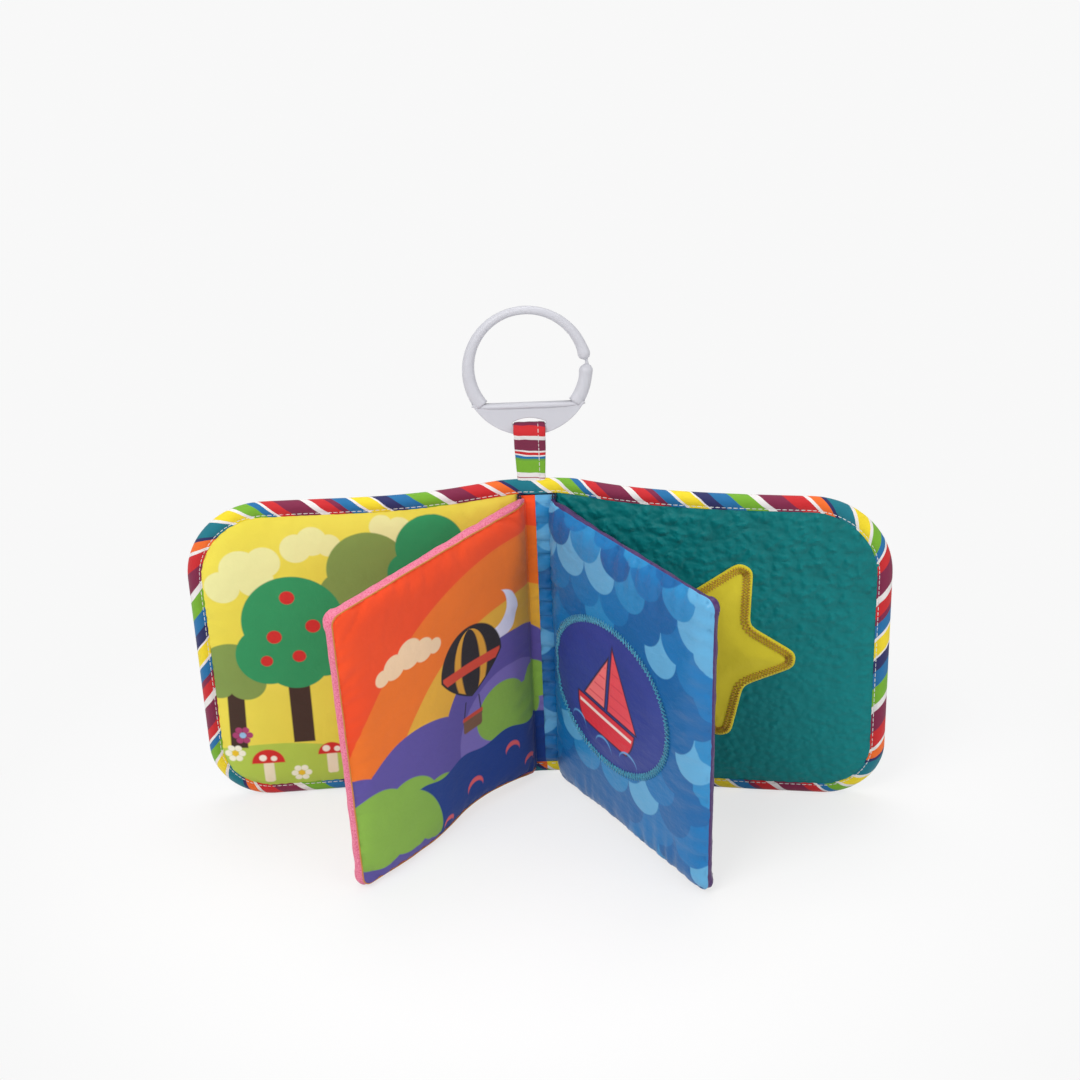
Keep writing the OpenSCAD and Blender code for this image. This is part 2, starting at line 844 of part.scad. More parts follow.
right_print_scales();
oval_patch();
oval_edging();
boat_hull();
boat_sails();
link_ring();
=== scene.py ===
# Looks of a soft activity book: two padded covers and two padded leaves on a sewn spine,
# with a striped binding tape, a strap loop and a plastic ring.
# Lengths are millimetres until a point is placed, and metres from there on.

import math

import bmesh
import bpy
import numpy as np
from mathutils import Matrix, Vector
from mathutils.bvhtree import BVHTree
from mathutils.geometry import delaunay_2d_cdt


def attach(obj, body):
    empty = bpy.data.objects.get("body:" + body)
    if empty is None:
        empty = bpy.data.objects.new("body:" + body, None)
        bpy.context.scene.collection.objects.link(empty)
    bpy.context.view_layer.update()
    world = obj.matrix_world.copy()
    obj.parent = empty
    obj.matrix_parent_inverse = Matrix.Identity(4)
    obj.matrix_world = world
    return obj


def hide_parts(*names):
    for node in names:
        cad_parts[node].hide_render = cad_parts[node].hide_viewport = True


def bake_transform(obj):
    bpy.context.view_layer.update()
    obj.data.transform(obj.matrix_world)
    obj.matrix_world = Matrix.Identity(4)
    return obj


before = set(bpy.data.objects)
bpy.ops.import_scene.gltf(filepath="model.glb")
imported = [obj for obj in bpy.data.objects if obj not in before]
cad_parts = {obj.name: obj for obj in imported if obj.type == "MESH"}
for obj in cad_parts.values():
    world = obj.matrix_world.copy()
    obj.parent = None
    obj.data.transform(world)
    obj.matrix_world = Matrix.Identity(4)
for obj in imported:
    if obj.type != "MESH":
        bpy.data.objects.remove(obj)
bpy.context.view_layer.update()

MM = 0.001

# Millimetres of plan to one unit of UV
PLAN_UNIT = 100.0

# Sizes shared with the solids
COVER_W = 152.0
COVER_H = 157.0
TOP_CORNER = 37.0
LOW_CORNER = 29.0
COVER_CORNERS = (TOP_CORNER, LOW_CORNER)
TAPE_W = 6.5
TAPE_T = 6.0
HALF_SPINE = 9.0
INNER_Y = -2.5
LEAF_W = 118.5
LEAF_H = 148.0
LEAF_CORNERS = (5.0, 5.0)
LEAF_FOLD = 8.0
LEAF_Y = -3.1
LEAF_LIFT = 1.5
LEAF_T = 6.0
LEFT_COVER_OPEN = 5.0
RIGHT_COVER_OPEN = 13.0
LEFT_LEAF_OPEN = 46.0
RIGHT_LEAF_OPEN = 56.0
STRAP_X = -2.0
AXIS_Z = 182.3
RING_R = 29.0
RIM_H = 3.6
RING_LEAN = 14.0
STAR_U = 64.5
STAR_H = 79.0
OVAL_U = LEAF_W * 0.43
OVAL_H = LEAF_H * 0.475
OVAL_R = 36.5
OVAL_WIDE = 1.18

# The tone of the paper that the book stands on, linear
PAPER = (0.94, 0.94, 0.94, 1)

# Colours as they look in plain light (sRGB, 0 to 255)
TEAL = (0, 128, 130)
COVER_BLUE = (38, 112, 170)
RED = (196, 32, 38)
PLUM = (122, 30, 66)
NAVY = (38, 40, 92)
TAPE_BLUE = (24, 106, 160)
TAPE_TEAL = (10, 112, 128)
TAPE_GREEN = (112, 168, 40)
TAPE_YELLOW = (232, 208, 36)
TAPE_ORANGE = (232, 104, 34)
OFF_WHITE = (226, 222, 220)


def linear(rgb):
    """Linear RGBA of a colour written 0 to 255."""
    c = np.array(rgb, float) / 255.0
    c = np.where(c <= 0.04045, c / 12.92, ((c + 0.055) / 1.055) ** 2.4)
    return (float(c[0]), float(c[1]), float(c[2]), 1.0)


# Places

class Place:
    """A flat panel's own axes: u out from the fold, h up, n toward the reader."""

    def __init__(self, side, x, y, z, turn, bow=None):
        a = math.radians(turn)
        self.bow = bow
        self.o = np.array([side * x, y, z])
        self.u = np.array([side * math.cos(a), -math.sin(a), 0.0])
        self.n = np.array([-side * math.sin(a), -math.cos(a), 0.0])

    def world(self, p):
        p = np.asarray(p, float)
        if self.bow is not None:
            p = p + self.bow(p[:, 0], p[:, 1])
        up = np.array([0.0, 0.0, 1.0])
        q = self.o + p[:, :1] * self.u + p[:, 1:2] * up + p[:, 2:3] * self.n
        return q * MM


def smooth(x):
    """A soft step from 0 at 0 to 1 at 1."""
    x = np.clip(x, 0.0, 1.0)
    return x * x * (3 - 2 * x)


# Slack of the soft panels as they stand: how far each point moves out, up and toward the reader
def head_lift(u, h):
    return 1.8 * np.exp(-(u / 24.0) ** 2) * np.clip(h / COVER_H, 0, 1) ** 3


def spine_bow(u, h):
    return np.stack([0 * u, head_lift(u, h), 0 * u], 1)


def left_cover_bow(u, h):
    sag = -1.8 * np.exp(-((u - 55.0) / 42.0) ** 2) * np.clip(h / COVER_H, 0, 1) ** 2
    toward = 1.2 * np.sin(np.clip(u / 150.0, 0, 1) * math.pi)
    return np.stack([0 * u, sag * smooth(u / 12.0) + head_lift(u, h), toward], 1)


def right_cover_bow(u, h):
    toward = 3.2 * np.sin(np.clip(u, 0, 160) / 112.0 * math.pi) * smooth(u / 16.0)
    return np.stack([0 * u, head_lift(u, h), toward], 1)


def left_leaf_bow(u, h):
    low = np.clip(1 - h / LEAF_H, 0, 1)
    x = np.clip(u / LEAF_W, 0, 1)
    toward = x * (4.0 * low - 1.8) - 4.6 * np.exp(-((u - 44.0) / 22.0) ** 2) * low ** 1.6
    up = 5.2 * np.exp(-((u - 22.0) / 27.0) ** 2) * low ** 1.8 - 9.0 * x ** 1.4 * (1 - low) ** 1.5
    out = -1.5 * x * low
    return np.stack([out, up, toward * smooth(u / 12.0)], 1)


def right_leaf_bow(u, h):
    low = np.clip(1 - h / LEAF_H, 0, 1)
    x = np.clip(u / LEAF_W, 0, 1)
    toward = x * (3.5 * low - 2.0) + 1.2 * np.sin(x * math.pi) * low
    up = 1.5 * np.exp(-((u - 45.0) / 26.0) ** 2) * low ** 2 - 1.0 * x * (1 - low)
    return np.stack([0 * u, up, toward * smooth(u / 12.0)], 1)


LEFT_COVER = Place(-1, HALF_SPINE, INNER_Y, 0, LEFT_COVER_OPEN, left_cover_bow)
RIGHT_COVER = Place(1, HALF_SPINE, INNER_Y, 0, RIGHT_COVER_OPEN, right_cover_bow)
LEFT_SPINE = Place(-1, HALF_SPINE, INNER_Y, 0, 0, spine_bow)
RIGHT_SPINE = Place(1, HALF_SPINE, INNER_Y, 0, 0, spine_bow)
LEFT_LEAF = Place(-1, LEAF_FOLD, LEAF_Y, LEAF_LIFT, LEFT_LEAF_OPEN, left_leaf_bow)
RIGHT_LEAF = Place(1, LEAF_FOLD, LEAF_Y, LEAF_LIFT, RIGHT_LEAF_OPEN, right_leaf_bow)


def bent(spine, cover, p):
    """Points on cloth that runs from the spine (u below 0) onto a cover (u above 0)."""
    w = smooth((np.asarray(p, float)[:, 0] + 4.0) / 8.0)[:, None]
    return spine.world(p) * (1 - w) + cover.world(p) * w


# Noise

def noise1(x, seed):
    """Smooth noise from -1 to 1 along a line."""
    x = np.asarray(x, float)
    table = np.random.RandomState(seed).uniform(-1, 1, 512)
    i = np.floor(x).astype(int)
    f = smooth(x - i)
    return table[i % 512] * (1 - f) + table[(i + 1) % 512] * f


def noise2(x, y, seed):
    """Smooth noise from -1 to 1 on a plane."""
    x, y = np.broadcast_arrays(np.asarray(x, float), np.asarray(y, float))
    table = np.random.RandomState(seed).uniform(-1, 1, (128, 128))
    i = np.floor(x).astype(int)
    j = np.floor(y).astype(int)
    f = smooth(x - i)
    g = smooth(y - j)
    a = table[i % 128, j % 128] * (1 - f) + table[(i + 1) % 128, j % 128] * f
    b = table[i % 128, (j + 1) % 128] * (1 - f) + table[(i + 1) % 128, (j + 1) % 128] * f
    return a * (1 - g) + b * g


def cloudy(x, y, size, seed):
    """Two octaves of noise on a plane."""
    return noise2(x / size, y / size, seed) * 0.7 + noise2(x * 2.1 / size, y * 2.1 / size, seed + 1) * 0.3


# Meshes

def link_new(name, data):
    o = bpy.data.objects.new(name, data)
    bpy.context.scene.collection.objects.link(o)
    return o


def add_mesh(name, points, faces, materials, indices=None, uv=None, flat=False):
    """A mesh object from points in metres, with one UV for each point."""
    mesh = bpy.data.meshes.new(name)
    mesh.from_pydata([tuple(p) for p in points], [], [tuple(f) for f in faces])
    for m in materials:
        mesh.materials.append(m)
    if indices is not None:
        mesh.polygons.foreach_set("material_index", np.asarray(indices, np.int32))
    mesh.polygons.foreach_set("use_smooth", [not flat] * len(mesh.polygons))
    if uv is not None:
        layer = mesh.uv_layers.new(name="plan")
        loops = np.zeros(len(mesh.loops), np.int32)
        mesh.loops.foreach_get("vertex_index", loops)
        layer.data.foreach_set("uv", np.asarray(uv, np.float32)[loops].ravel())
    mesh.update()
    return link_new(name, mesh)


def grid_faces(rows, columns, wrap=False):
    """Four-sided faces of a grid whose points are listed row by row."""
    faces = []
    for i in range(rows - 1):
        for j in range(columns if wrap else columns - 1):
            k = (j + 1) % columns
            faces.append((i * columns + j, i * columns + k, (i + 1) * columns + k, (i + 1) * columns + j))
    return faces


def rod_faces(rows, columns):
    """Faces of a rod made of closed rows, with both ends shut."""
    last = (rows - 1) * columns
    ends = [tuple(range(columns)), tuple(last + k for k in reversed(range(columns)))]
    return grid_faces(rows, columns, True) + ends


def from_curve(name, lines, closed, material, **props):
    """A plain mesh object made from curves along lines of points in metres."""
    curve = bpy.data.curves.new(name, "CURVE")
    for key, value in props.items():
        setattr(curve, key, value)
    for line in lines:
        s = curve.splines.new("POLY")
        s.points.add(len(line) - 1)
        co = np.ones((len(line), 4))
        co[:, :3] = line
        s.points.foreach_set("co", co.ravel())
        s.use_cyclic_u = closed
    o = link_new(name, curve)
    deps = bpy.context.evaluated_depsgraph_get()
    mesh = bpy.data.meshes.new_from_object(o.evaluated_get(deps))
    bpy.data.objects.remove(o)
    bpy.data.curves.remove(curve)
    mesh.name = name
    mesh.materials.clear()
    mesh.materials.append(material)
    return link_new(name, mesh)


def face_out(o):
    """Points every face of a closed mesh outward."""
    b = bmesh.new()
    b.from_mesh(o.data)
    bmesh.ops.recalc_face_normals(b, faces=b.faces)
    b.to_mesh(o.data)
    b.free()
    return o


def tube(name, paths, radius, material, closed=False, sides=1):
    """Round threads along paths of points in metres."""
    o = from_curve(name, paths, closed, material, dimensions="3D", bevel_depth=radius * MM,
                   bevel_resolution=sides, use_fill_caps=True)
    o.data.polygons.foreach_set("use_smooth", [True] * len(o.data.polygons))
    return o


def dress(o, body, nodes):
    """Hangs a piece on its body and hides the solids that it replaces."""
    if body:
        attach(o, body)
    if nodes:
        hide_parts(*nodes)


def bend_at_fold(o):
    """Bakes the object's placement into its mesh."""
    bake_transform(o)


CAPSULE = [(-0.93, 0.62), (-0.6, 1.0), (0.0, 1.12), (0.6, 1.0), (0.93, 0.62)]


def capsules(name, ends, radius, material, sides=6):
    """Short fat threads: one closed capsule for each pair of ends, in metres."""
    points = []
    faces = []
    r = radius * MM
    for a, b in ends:
        a = np.asarray(a, float)
        b = np.asarray(b, float)
        mid = (a + b) / 2
        axis = b - a
        half = np.linalg.norm(axis) / 2 + 1e-9
        axis = axis / (2 * half)
        side = np.cross(axis, [0.0, 0.0, 1.0])
        if np.linalg.norm(side) < 0.1:
            side = np.cross(axis, [0.0, 1.0, 0.0])
        side = side / np.linalg.norm(side)
        up = np.cross(side, axis)
        start = len(points)
        points.append(mid - axis * half)
        for x, w in CAPSULE:
            for k in range(sides):
                g = 2 * math.pi * k / sides
                points.append(mid + axis * half * x + r * w * (side * math.cos(g) + up * math.sin(g)))
        points.append(mid + axis * half)
        last = len(points) - 1
        rows = len(CAPSULE)
        for k in range(sides):
            m = (k + 1) % sides
            faces.append((start, start + 1 + m, start + 1 + k))
            for j in range(rows - 1):
                p = start + 1 + j * sides
                faces.append((p + k, p + m, p + sides + m, p + sides + k))
            p = start + 1 + (rows - 1) * sides
            faces.append((p + k, p + m, last))
    return face_out(add_mesh(name, points, faces, [material]))


# Materials

# How far printed colours run into each other
INK_EDGE = 0.35


class Look:
    """A node material with a few short ways to build its colour and bump."""

    def __init__(self, name, rough=0.8, sheen=0.0, specular=0.3):
        self.mat = bpy.data.materials.new(name)
        self.mat.use_nodes = True
        self.tree = self.mat.node_tree
        self.tree.nodes.clear()
        self.bsdf = self.add("ShaderNodeBsdfPrincipled")
        out = self.add("ShaderNodeOutputMaterial")
        self.tree.links.new(self.bsdf.outputs["BSDF"], out.inputs["Surface"])
        self.bsdf.inputs["Roughness"].default_value = rough
        self.bsdf.inputs["Sheen Weight"].default_value = sheen
        self.bsdf.inputs["Sheen Roughness"].default_value = 0.5
        self.bsdf.inputs["Specular IOR Level"].default_value = specular

    def add(self, kind, **props):
        n = self.tree.nodes.new(kind)
        for k, v in props.items():
            setattr(n, k, v)
        return n

    def put(self, socket, value):
        if isinstance(value, bpy.types.NodeSocket):
            self.tree.links.new(value, socket)
        else:
            socket.default_value = value

    def math(self, op, a, b=0.0, c=0.0, clamp=False):
        n = self.add("ShaderNodeMath", operation=op, use_clamp=clamp)
        self.put(n.inputs[0], a)
        self.put(n.inputs[1], b)
        if op == "MULTIPLY_ADD":
            self.put(n.inputs[2], c)
        return n.outputs[0]

    def plus(self, a, b):
        return self.math("ADD", a, b)

    def minus(self, a, b):
        return self.math("SUBTRACT", a, b)

    def times(self, a, b):
        return self.math("MULTIPLY", a, b)

    def scale(self, a, by, add, clamp=False):
        return self.math("MULTIPLY_ADD", a, by, add, clamp)

    def vec(self, op, a, b=None, scale=None):
        n = self.add("ShaderNodeVectorMath", operation=op)
        self.put(n.inputs[0], a)
        if b is not None:
            self.put(n.inputs[1], b)
        if scale is not None:
            n.inputs["Scale"].default_value = scale
        return n.outputs["Value" if op in ("DISTANCE", "LENGTH", "DOT_PRODUCT") else "Vector"]

    def mix(self, f, a, b):
        n = self.add("ShaderNodeMix", data_type="RGBA")
        self.put(n.inputs[0], f)
        self.put(n.inputs[6], a)
        self.put(n.inputs[7], b)
        return n.outputs[2]

    def one(self, rgb):
        """A single colour."""
        return self.mix(0.0, linear(rgb), linear(rgb))

    def plan(self):
        """The plan coordinates of a panel, in millimetres."""
        n = self.add("ShaderNodeUVMap", uv_map="plan")
        return self.vec("SCALE", n.outputs[0], scale=PLAN_UNIT)

    def space(self):
        """The place in the row's frame, in millimetres."""
        n = self.add("ShaderNodeTexCoord")
        return self.vec("SCALE", n.outputs["Object"], scale=1000.0)

    def split(self, p):
        n = self.add("ShaderNodeSeparateXYZ")
        self.put(n.inputs[0], p)
        return n.outputs[0], n.outputs[1], n.outputs[2]

    def join(self, x, y, z=0.0):
        n = self.add("ShaderNodeCombineXYZ")
        self.put(n.inputs[0], x)
        self.put(n.inputs[1], y)
        self.put(n.inputs[2], z)
        return n.outputs[0]

    def noise(self, p, scale, detail=2.0, rough=0.5):
        n = self.add("ShaderNodeTexNoise", noise_dimensions="3D")
        self.put(n.inputs["Vector"], p)
        n.inputs["Scale"].default_value = scale
        n.inputs["Detail"].default_value = detail
        n.inputs["Roughness"].default_value = rough
        return n.outputs["Fac"]

    def blob(self, p, circles):
        """Distance to the nearest of some circles, below 0 inside."""
        d = None
        for x, y, r in circles:
            e = self.minus(self.vec("DISTANCE", p, (x, y, 0.0)), r)
            d = e if d is None else self.math("MINIMUM", d, e)
        return d

    def bar(self, p, x, y, w, h, turn=0.0, soft=0.0):
        """Distance to a box with its middle at x, y."""
        q = self.vec("SUBTRACT", p, (x, y, 0.0))
        if turn:
            n = self.add("ShaderNodeVectorRotate", rotation_type="Z_AXIS")
            self.put(n.inputs["Vector"], q)
            n.inputs["Angle"].default_value = math.radians(-turn)
            q = n.outputs[0]
        a, b, _ = self.split(self.vec("ABSOLUTE", q))
        dx = self.minus(a, w / 2 - soft)
        dy = self.minus(b, h / 2 - soft)
        if not soft:
            return self.math("MAXIMUM", dx, dy)
        out = self.vec("LENGTH", self.join(self.math("MAXIMUM", dx, 0.0), self.math("MAXIMUM", dy, 0.0)))
        inside = self.math("MINIMUM", self.math("MAXIMUM", dx, dy), 0.0)
        return self.minus(self.plus(out, inside), soft)

    def both(self, a, b):
        return self.math("MAXIMUM", a, b)

    def less(self, a, b):
        """What is in a and not in b."""
        return self.both(a, self.times(b, -1.0))

    def paint(self, base, rgb, d):
        """Lays a colour where the distance is below 0."""
        f = self.scale(d, -0.5 / INK_EDGE, 0.5, clamp=True)
        return self.mix(f, base, linear(rgb))

    def bump(self, height, distance, strength=1.0, under=None):
        n = self.add("ShaderNodeBump")
        self.put(n.inputs["Height"], height)
        n.inputs["Strength"].default_value = strength
        n.inputs["Distance"].default_value = distance * MM
        if under is not None:
            self.put(n.inputs["Normal"], under)
        return n.outputs[0]

    def weave(self, p, pitch=0.5):
        """Height of a plain weave, from 0 to 1."""
        x, y, _ = self.split(p)
        k = 2 * math.pi / pitch
        a = self.math("SINE", self.times(x, k))
        b = self.math("SINE", self.times(y, k))
        return self.scale(self.times(a, b), 0.5, 0.5)

    def finish(self, colour, normal=None):
        self.put(self.bsdf.inputs["Base Color"], colour)
        if normal is not None:
            self.put(self.bsdf.inputs["Normal"], normal)
        return self.mat


def tinted(look, colour, p, amount=0.10, size=0.05):
    """Slight uneven lightness, as dyed or printed cloth has."""
    f = look.scale(look.noise(p, size, 3.0), amount, 1.0 - amount * 0.5)
    n = look.add("ShaderNodeHueSaturation")
    look.put(n.inputs["Color"], colour)
    look.put(n.inputs["Value"], f)
    return n.outputs[0]


def cotton(name, colour_of, pitch=0.45, rough=0.85, sheen=0.15):
    """Printed cotton: a fine weave and soft creases under a colour given by a function."""
    k = Look(name, rough=rough, sheen=sheen, specular=0.25)
    p = k.plan()
    colour = tinted(k, colour_of(k, p), p)
    fine = k.bump(k.weave(p, pitch), 0.03, 0.5)
    soft = k.bump(k.noise(p, 0.14, 3.0), 1.2, 0.35, fine)
    return k.finish(colour, soft)


def darker(rgb, share):
    return tuple(int(v * share) for v in rgb)


def circle_row(k, p, base, rgb, circles):
    return k.paint(base, rgb, k.blob(p, circles))


def scaled(circles, w, h):
    """Circles written as shares of a panel's width and height, in millimetres."""
    return [(x * w, y * h, r * h) for x, y, r in circles]


def cover_print(k, p):
    """Trees with round crowns on yellow, pale clouds, a green meadow and toadstools."""
    w, h = COVER_W, COVER_H
    c = k.mix(k.noise(p, 0.02, 1.0), linear((222, 205, 62)), linear((240, 226, 92)))
    clouds = [(0.84, 0.80, 0.062), (0.77, 0.82, 0.05), (0.90, 0.745, 0.052), (0.80, 0.765, 0.055),
              (0.62, 0.88, 0.045), (0.67, 0.86, 0.045), (0.57, 0.865, 0.035), (0.36, 0.90, 0.04),
              (0.41, 0.915, 0.035)]
    c = circle_row(k, p, c, (232, 230, 160), scaled(clouds, w, h))
    ground = k.blob(p, scaled([(0.30, -0.30, 0.56), (0.80, -0.62, 0.82)], w, h))
    c = k.paint(c, (176, 200, 76), ground)
    trunk = (66, 46, 36)
    c = k.paint(c, trunk, k.bar(p, 0.90 * w, 0.30 * h, 8.0, 0.22 * h, 2.0))
    c = k.paint(c, trunk, k.bar(p, 0.46 * w, 0.46 * h, 8.0, 0.46 * h, -2.0))
    olive = [(0.90, 0.47, 0.085), (0.86, 0.42, 0.06), (0.95, 0.42, 0.055),
             (0.46, 0.78, 0.12), (0.40, 0.70, 0.085), (0.53, 0.70, 0.08)]
    c = circle_row(k, p, c, (128, 152, 76), scaled(olive, w, h))
    c = k.paint(c, trunk, k.bar(p, 0.70 * w, 0.33 * h, 10.0, 0.26 * h))
    green = [(0.70, 0.62, 0.150), (0.62, 0.52, 0.095), (0.78, 0.51, 0.10), (0.70, 0.49, 0.10),
             (0.27, 0.84, 0.10), (0.22, 0.77, 0.075), (0.33, 0.76, 0.07)]
    c = circle_row(k, p, c, (48, 148, 92), scaled(green, w, h))
    fruit = [(0.64, 0.60, 0.022), (0.76, 0.57, 0.022), (0.71, 0.70, 0.022), (0.69, 0.50, 0.020),
             (0.79, 0.49, 0.018)]
    c = circle_row(k, p, c, (206, 44, 40), scaled(fruit, w, h))
    for x, y, r in ((0.82, 0.13, 0.050), (0.62, 0.15, 0.041), (0.42, 0.13, 0.047)):
        c = k.paint(c, (238, 226, 196), k.bar(p, x * w, (y - 0.035) * h, 5.0, 0.08 * h, 0.0, 1.5))
        cap = k.both(k.blob(p, [(x * w, y * h, r * h)]), k.bar(p, x * w, (y + 0.05) * h, 30.0, 0.10 * h))
        c = k.paint(c, (206, 40, 36), cap)
        c = circle_row(k, p, c, (244, 236, 220), [((x - 0.018) * w, (y + 0.016) * h, 1.5),
                                                   ((x + 0.016) * w, (y + 0.020) * h, 1.8)])
    for x, y, rgb, mid in ((0.92, 0.17, (240, 238, 216), (232, 190, 40)),
                           (0.72, 0.085, (240, 238, 216), (232, 190, 40)),
                           (0.89, 0.235, (168, 62, 110), (150, 190, 226))):
        petals = [(x * w + 3.2 * math.cos(a), y * h + 3.2 * math.sin(a), 1.7)
                  for a in np.arange(6) * math.pi / 3]
        c = circle_row(k, p, c, rgb, petals)
        c = circle_row(k, p, c, mid, [(x * w, y * h, 1.6)])
    return c


def leaf_print(k, p):
    """Curved bands of evening sky, hills, bushes, water, a hot-air balloon and a cloud."""
    w, h = LEAF_W, LEAF_H
    sky = k.vec("DISTANCE", p, (0.10 * w, 0.12 * h, 0.0))
    c = k.mix(k.noise(p, 0.02, 1.0), linear((246, 84, 34)), linear((234, 66, 28)))
    c = k.paint(c, (240, 116, 34), k.minus(sky, 0.80 * h))
    c = k.paint(c, (232, 172, 56), k.minus(sky, 0.60 * h))
    disc = k.blob(p, scaled([(0.20, 0.68, 0.085)], w, h))
    moon = k.less(disc, k.blob(p, scaled([(0.25, 0.715, 0.075)], w, h)))
    c = k.paint(c, (226, 222, 238), moon)
    hills = k.blob(p, scaled([(0.16, 0.30, 0.30), (0.66, 0.16, 0.30), (1.02, 0.20, 0.20)], w, h))
    c = k.paint(c, (92, 80, 156), hills)
    c = k.paint(c, (120, 106, 178), k.blob(p, scaled([(0.16, 0.26, 0.22)], w, h)))
    bushes = [(0.90, 0.18, 0.14), (0.74, 0.17, 0.13), (0.58, 0.13, 0.11), (0.20, 0.32, 0.11),
              (0.08, 0.28, 0.10), (-0.02, 0.36, 0.07)]
    c = circle_row(k, p, c, (134, 176, 70), scaled(bushes, w, h))
    shore = k.blob(p, scaled([(0.84, 0.06, 0.22)], w, h))
    x, y, _ = k.split(p)
    wave = k.times(k.math("SINE", k.times(x, 0.22)), 1.4)
    water = k.less(k.minus(k.plus(y, wave), 0.23 * h), shore)
    c = k.paint(c, (20, 58, 132), water)
    crests = [(0.16, 0.15, 0.030), (0.36, 0.09, 0.034), (0.06, 0.07, 0.028), (0.52, 0.035, 0.026)]
    for x, y, r in crests:
        arc = k.less(k.blob(p, [(x * w, y * h, r * h)]), k.blob(p, [(x * w, (y - 0.018) * h, r * h)]))
        c = k.paint(c, (226, 92, 96), arc)
    cloud = [(0.60, 0.72, 0.040), (0.67, 0.735, 0.050), (0.75, 0.72, 0.042), (0.81, 0.705, 0.028),
             (0.54, 0.71, 0.026)]
    c = circle_row(k, p, c, (244, 208, 168), scaled(cloud, w, h))
    bx, by, br = 0.36 * w, 0.56 * h, 0.13 * h
    a, b, _ = k.split(k.vec("SUBTRACT", p, (bx, by, 0.0)))
    lower = k.math("MAXIMUM", k.times(b, -1.0), 0.0)
    taper = k.scale(lower, 0.62, k.math("ABSOLUTE", a))
    body = k.vec("LENGTH", k.join(taper, k.times(b, 0.92)))
    body = k.minus(body, br)
    c = k.paint(c, (40, 34, 38), body)
    chord = k.math("SQRT", k.both(k.minus(br * br, k.times(b, b)), 1.0))
    gores = k.math("ABSOLUTE", k.math("DIVIDE", a, k.both(chord, 1.0)))
    stripes = k.minus(k.math("ABSOLUTE", k.minus(gores, 0.42)), 0.11)
    c = k.paint(c, (222, 158, 52), k.both(k.times(stripes, 12.0), k.plus(body, 1.2)))
    band = k.minus(k.math("ABSOLUTE", k.plus(b, 1.0)), 2.6)
    c = k.paint(c, (214, 72, 50), k.both(band, k.plus(body, 1.2)))
    for s in (-1, 1):
        c = k.paint(c, (40, 34, 38), k.bar(p, bx + s * 5.0, by - 0.165 * h, 0.7, 0.08 * h, s * 8.0))
    c = k.paint(c, (120, 84, 62), k.bar(p, bx, by - 0.215 * h, 12.0, 9.0, 0.0, 1.6))
    c = k.paint(c, (200, 70, 50), k.bar(p, bx, by - 0.190 * h, 13.0, 2.2, 0.0, 0.8))
    return c


def stripe_ramp(k, t, stripes, total):
    """Colour of a stripe at share t of the pattern."""
    ramp = k.add("ShaderNodeValToRGB")
    ramp.color_ramp.interpolation = "CONSTANT"
    e = ramp.color_ramp.elements
    while len(e) < len(stripes):
        e.new(0.5)
    at = 0.0
    for q, (w, rgb) in zip(e, stripes):
        q.position = at / total
        q.color = linear(rgb)
        at += w
    k.put(ramp.inputs[0], t)
    return ramp.outputs[0]


SCALE_R = 11.0

# How often each blue of the scales comes, as shares
SCALE_BLUES = [(0.34, (2, 96, 160)), (0.26, (8, 112, 176)), (0.22, (34, 132, 190)), (0.18, (92, 166, 210))]


def scale_print(k, p):
    """Rows of overlapping scales in four blues."""
    u, h, _ = k.split(p)
    t = k.math("DIVIDE", h, SCALE_R)
    low = k.math("FLOOR", t)
    frac = k.minus(t, low)
    ids = []
    for add in (1.0, 0.0):
        row = k.plus(low, add)
        odd = k.math("FLOORED_MODULO", row, 2.0)
        off = k.times(odd, SCALE_R)
        i = k.math("ROUND", k.math("DIVIDE", k.minus(u, off), 2 * SCALE_R))
        cx = k.scale(i, 2 * SCALE_R, off)
        ids.append((row, i, k.minus(u, cx)))
    up = k.times(k.minus(1.0, frac), SCALE_R)
    d = k.vec("LENGTH", k.join(ids[0][2], up))
    inside = k.scale(k.minus(d, SCALE_R - 0.2), -1.6, 0.5, clamp=True)
    colours = []
    for row, i, _ in ids:
        white = k.add("ShaderNodeTexWhiteNoise", noise_dimensions="3D")
        k.put(white.inputs["Vector"], k.join(row, i, 3.0))
        colours.append(stripe_ramp(k, white.outputs["Value"], SCALE_BLUES, 1.0))
    return k.mix(inside, colours[1], colours[0])


def satin(name, colour_of, rough=0.36):
    """Satin: a smooth face with a broad shine, fine ribs and small creases."""
    k = Look(name, rough=rough, sheen=0.03, specular=0.40)
    p = k.plan()
    colour = tinted(k, colour_of(k, p), p, 0.12)
    x, y, _ = k.split(p)
    ribs = k.math("SINE", k.times(y, 2 * math.pi / 0.42))
    fine = k.bump(k.scale(ribs, 0.5, 0.5), 0.02, 0.4)
    stretched = k.join(k.times(x, 0.6), y)
    soft = k.bump(k.noise(stretched, 0.16, 4.0, 0.55), 1.6, 0.45, fine)
    return k.finish(colour, soft)


PILE = 1.4


def plush(name, rgb, tip):
    """Short-pile plush: mottled pile tips and a strong sheen."""
    k = Look(name, rough=1.0, sheen=0.7, specular=0.1)
    k.bsdf.inputs["Sheen Tint"].default_value = linear(tip)
    p = k.space()
    f = k.noise(p, PILE, 3.0, 0.7)
    ramp = k.scale(f, 3.2, -1.1, clamp=True)
    big = k.noise(p, 0.09, 2.0)
    c = k.mix(ramp, linear(rgb), linear(tip))
    c = k.mix(k.times(big, 0.35), c, linear(rgb))
    n = k.bump(k.noise(p, PILE * 1.2, 4.0, 0.7), 0.5, 0.8)
    return k.finish(c, n)


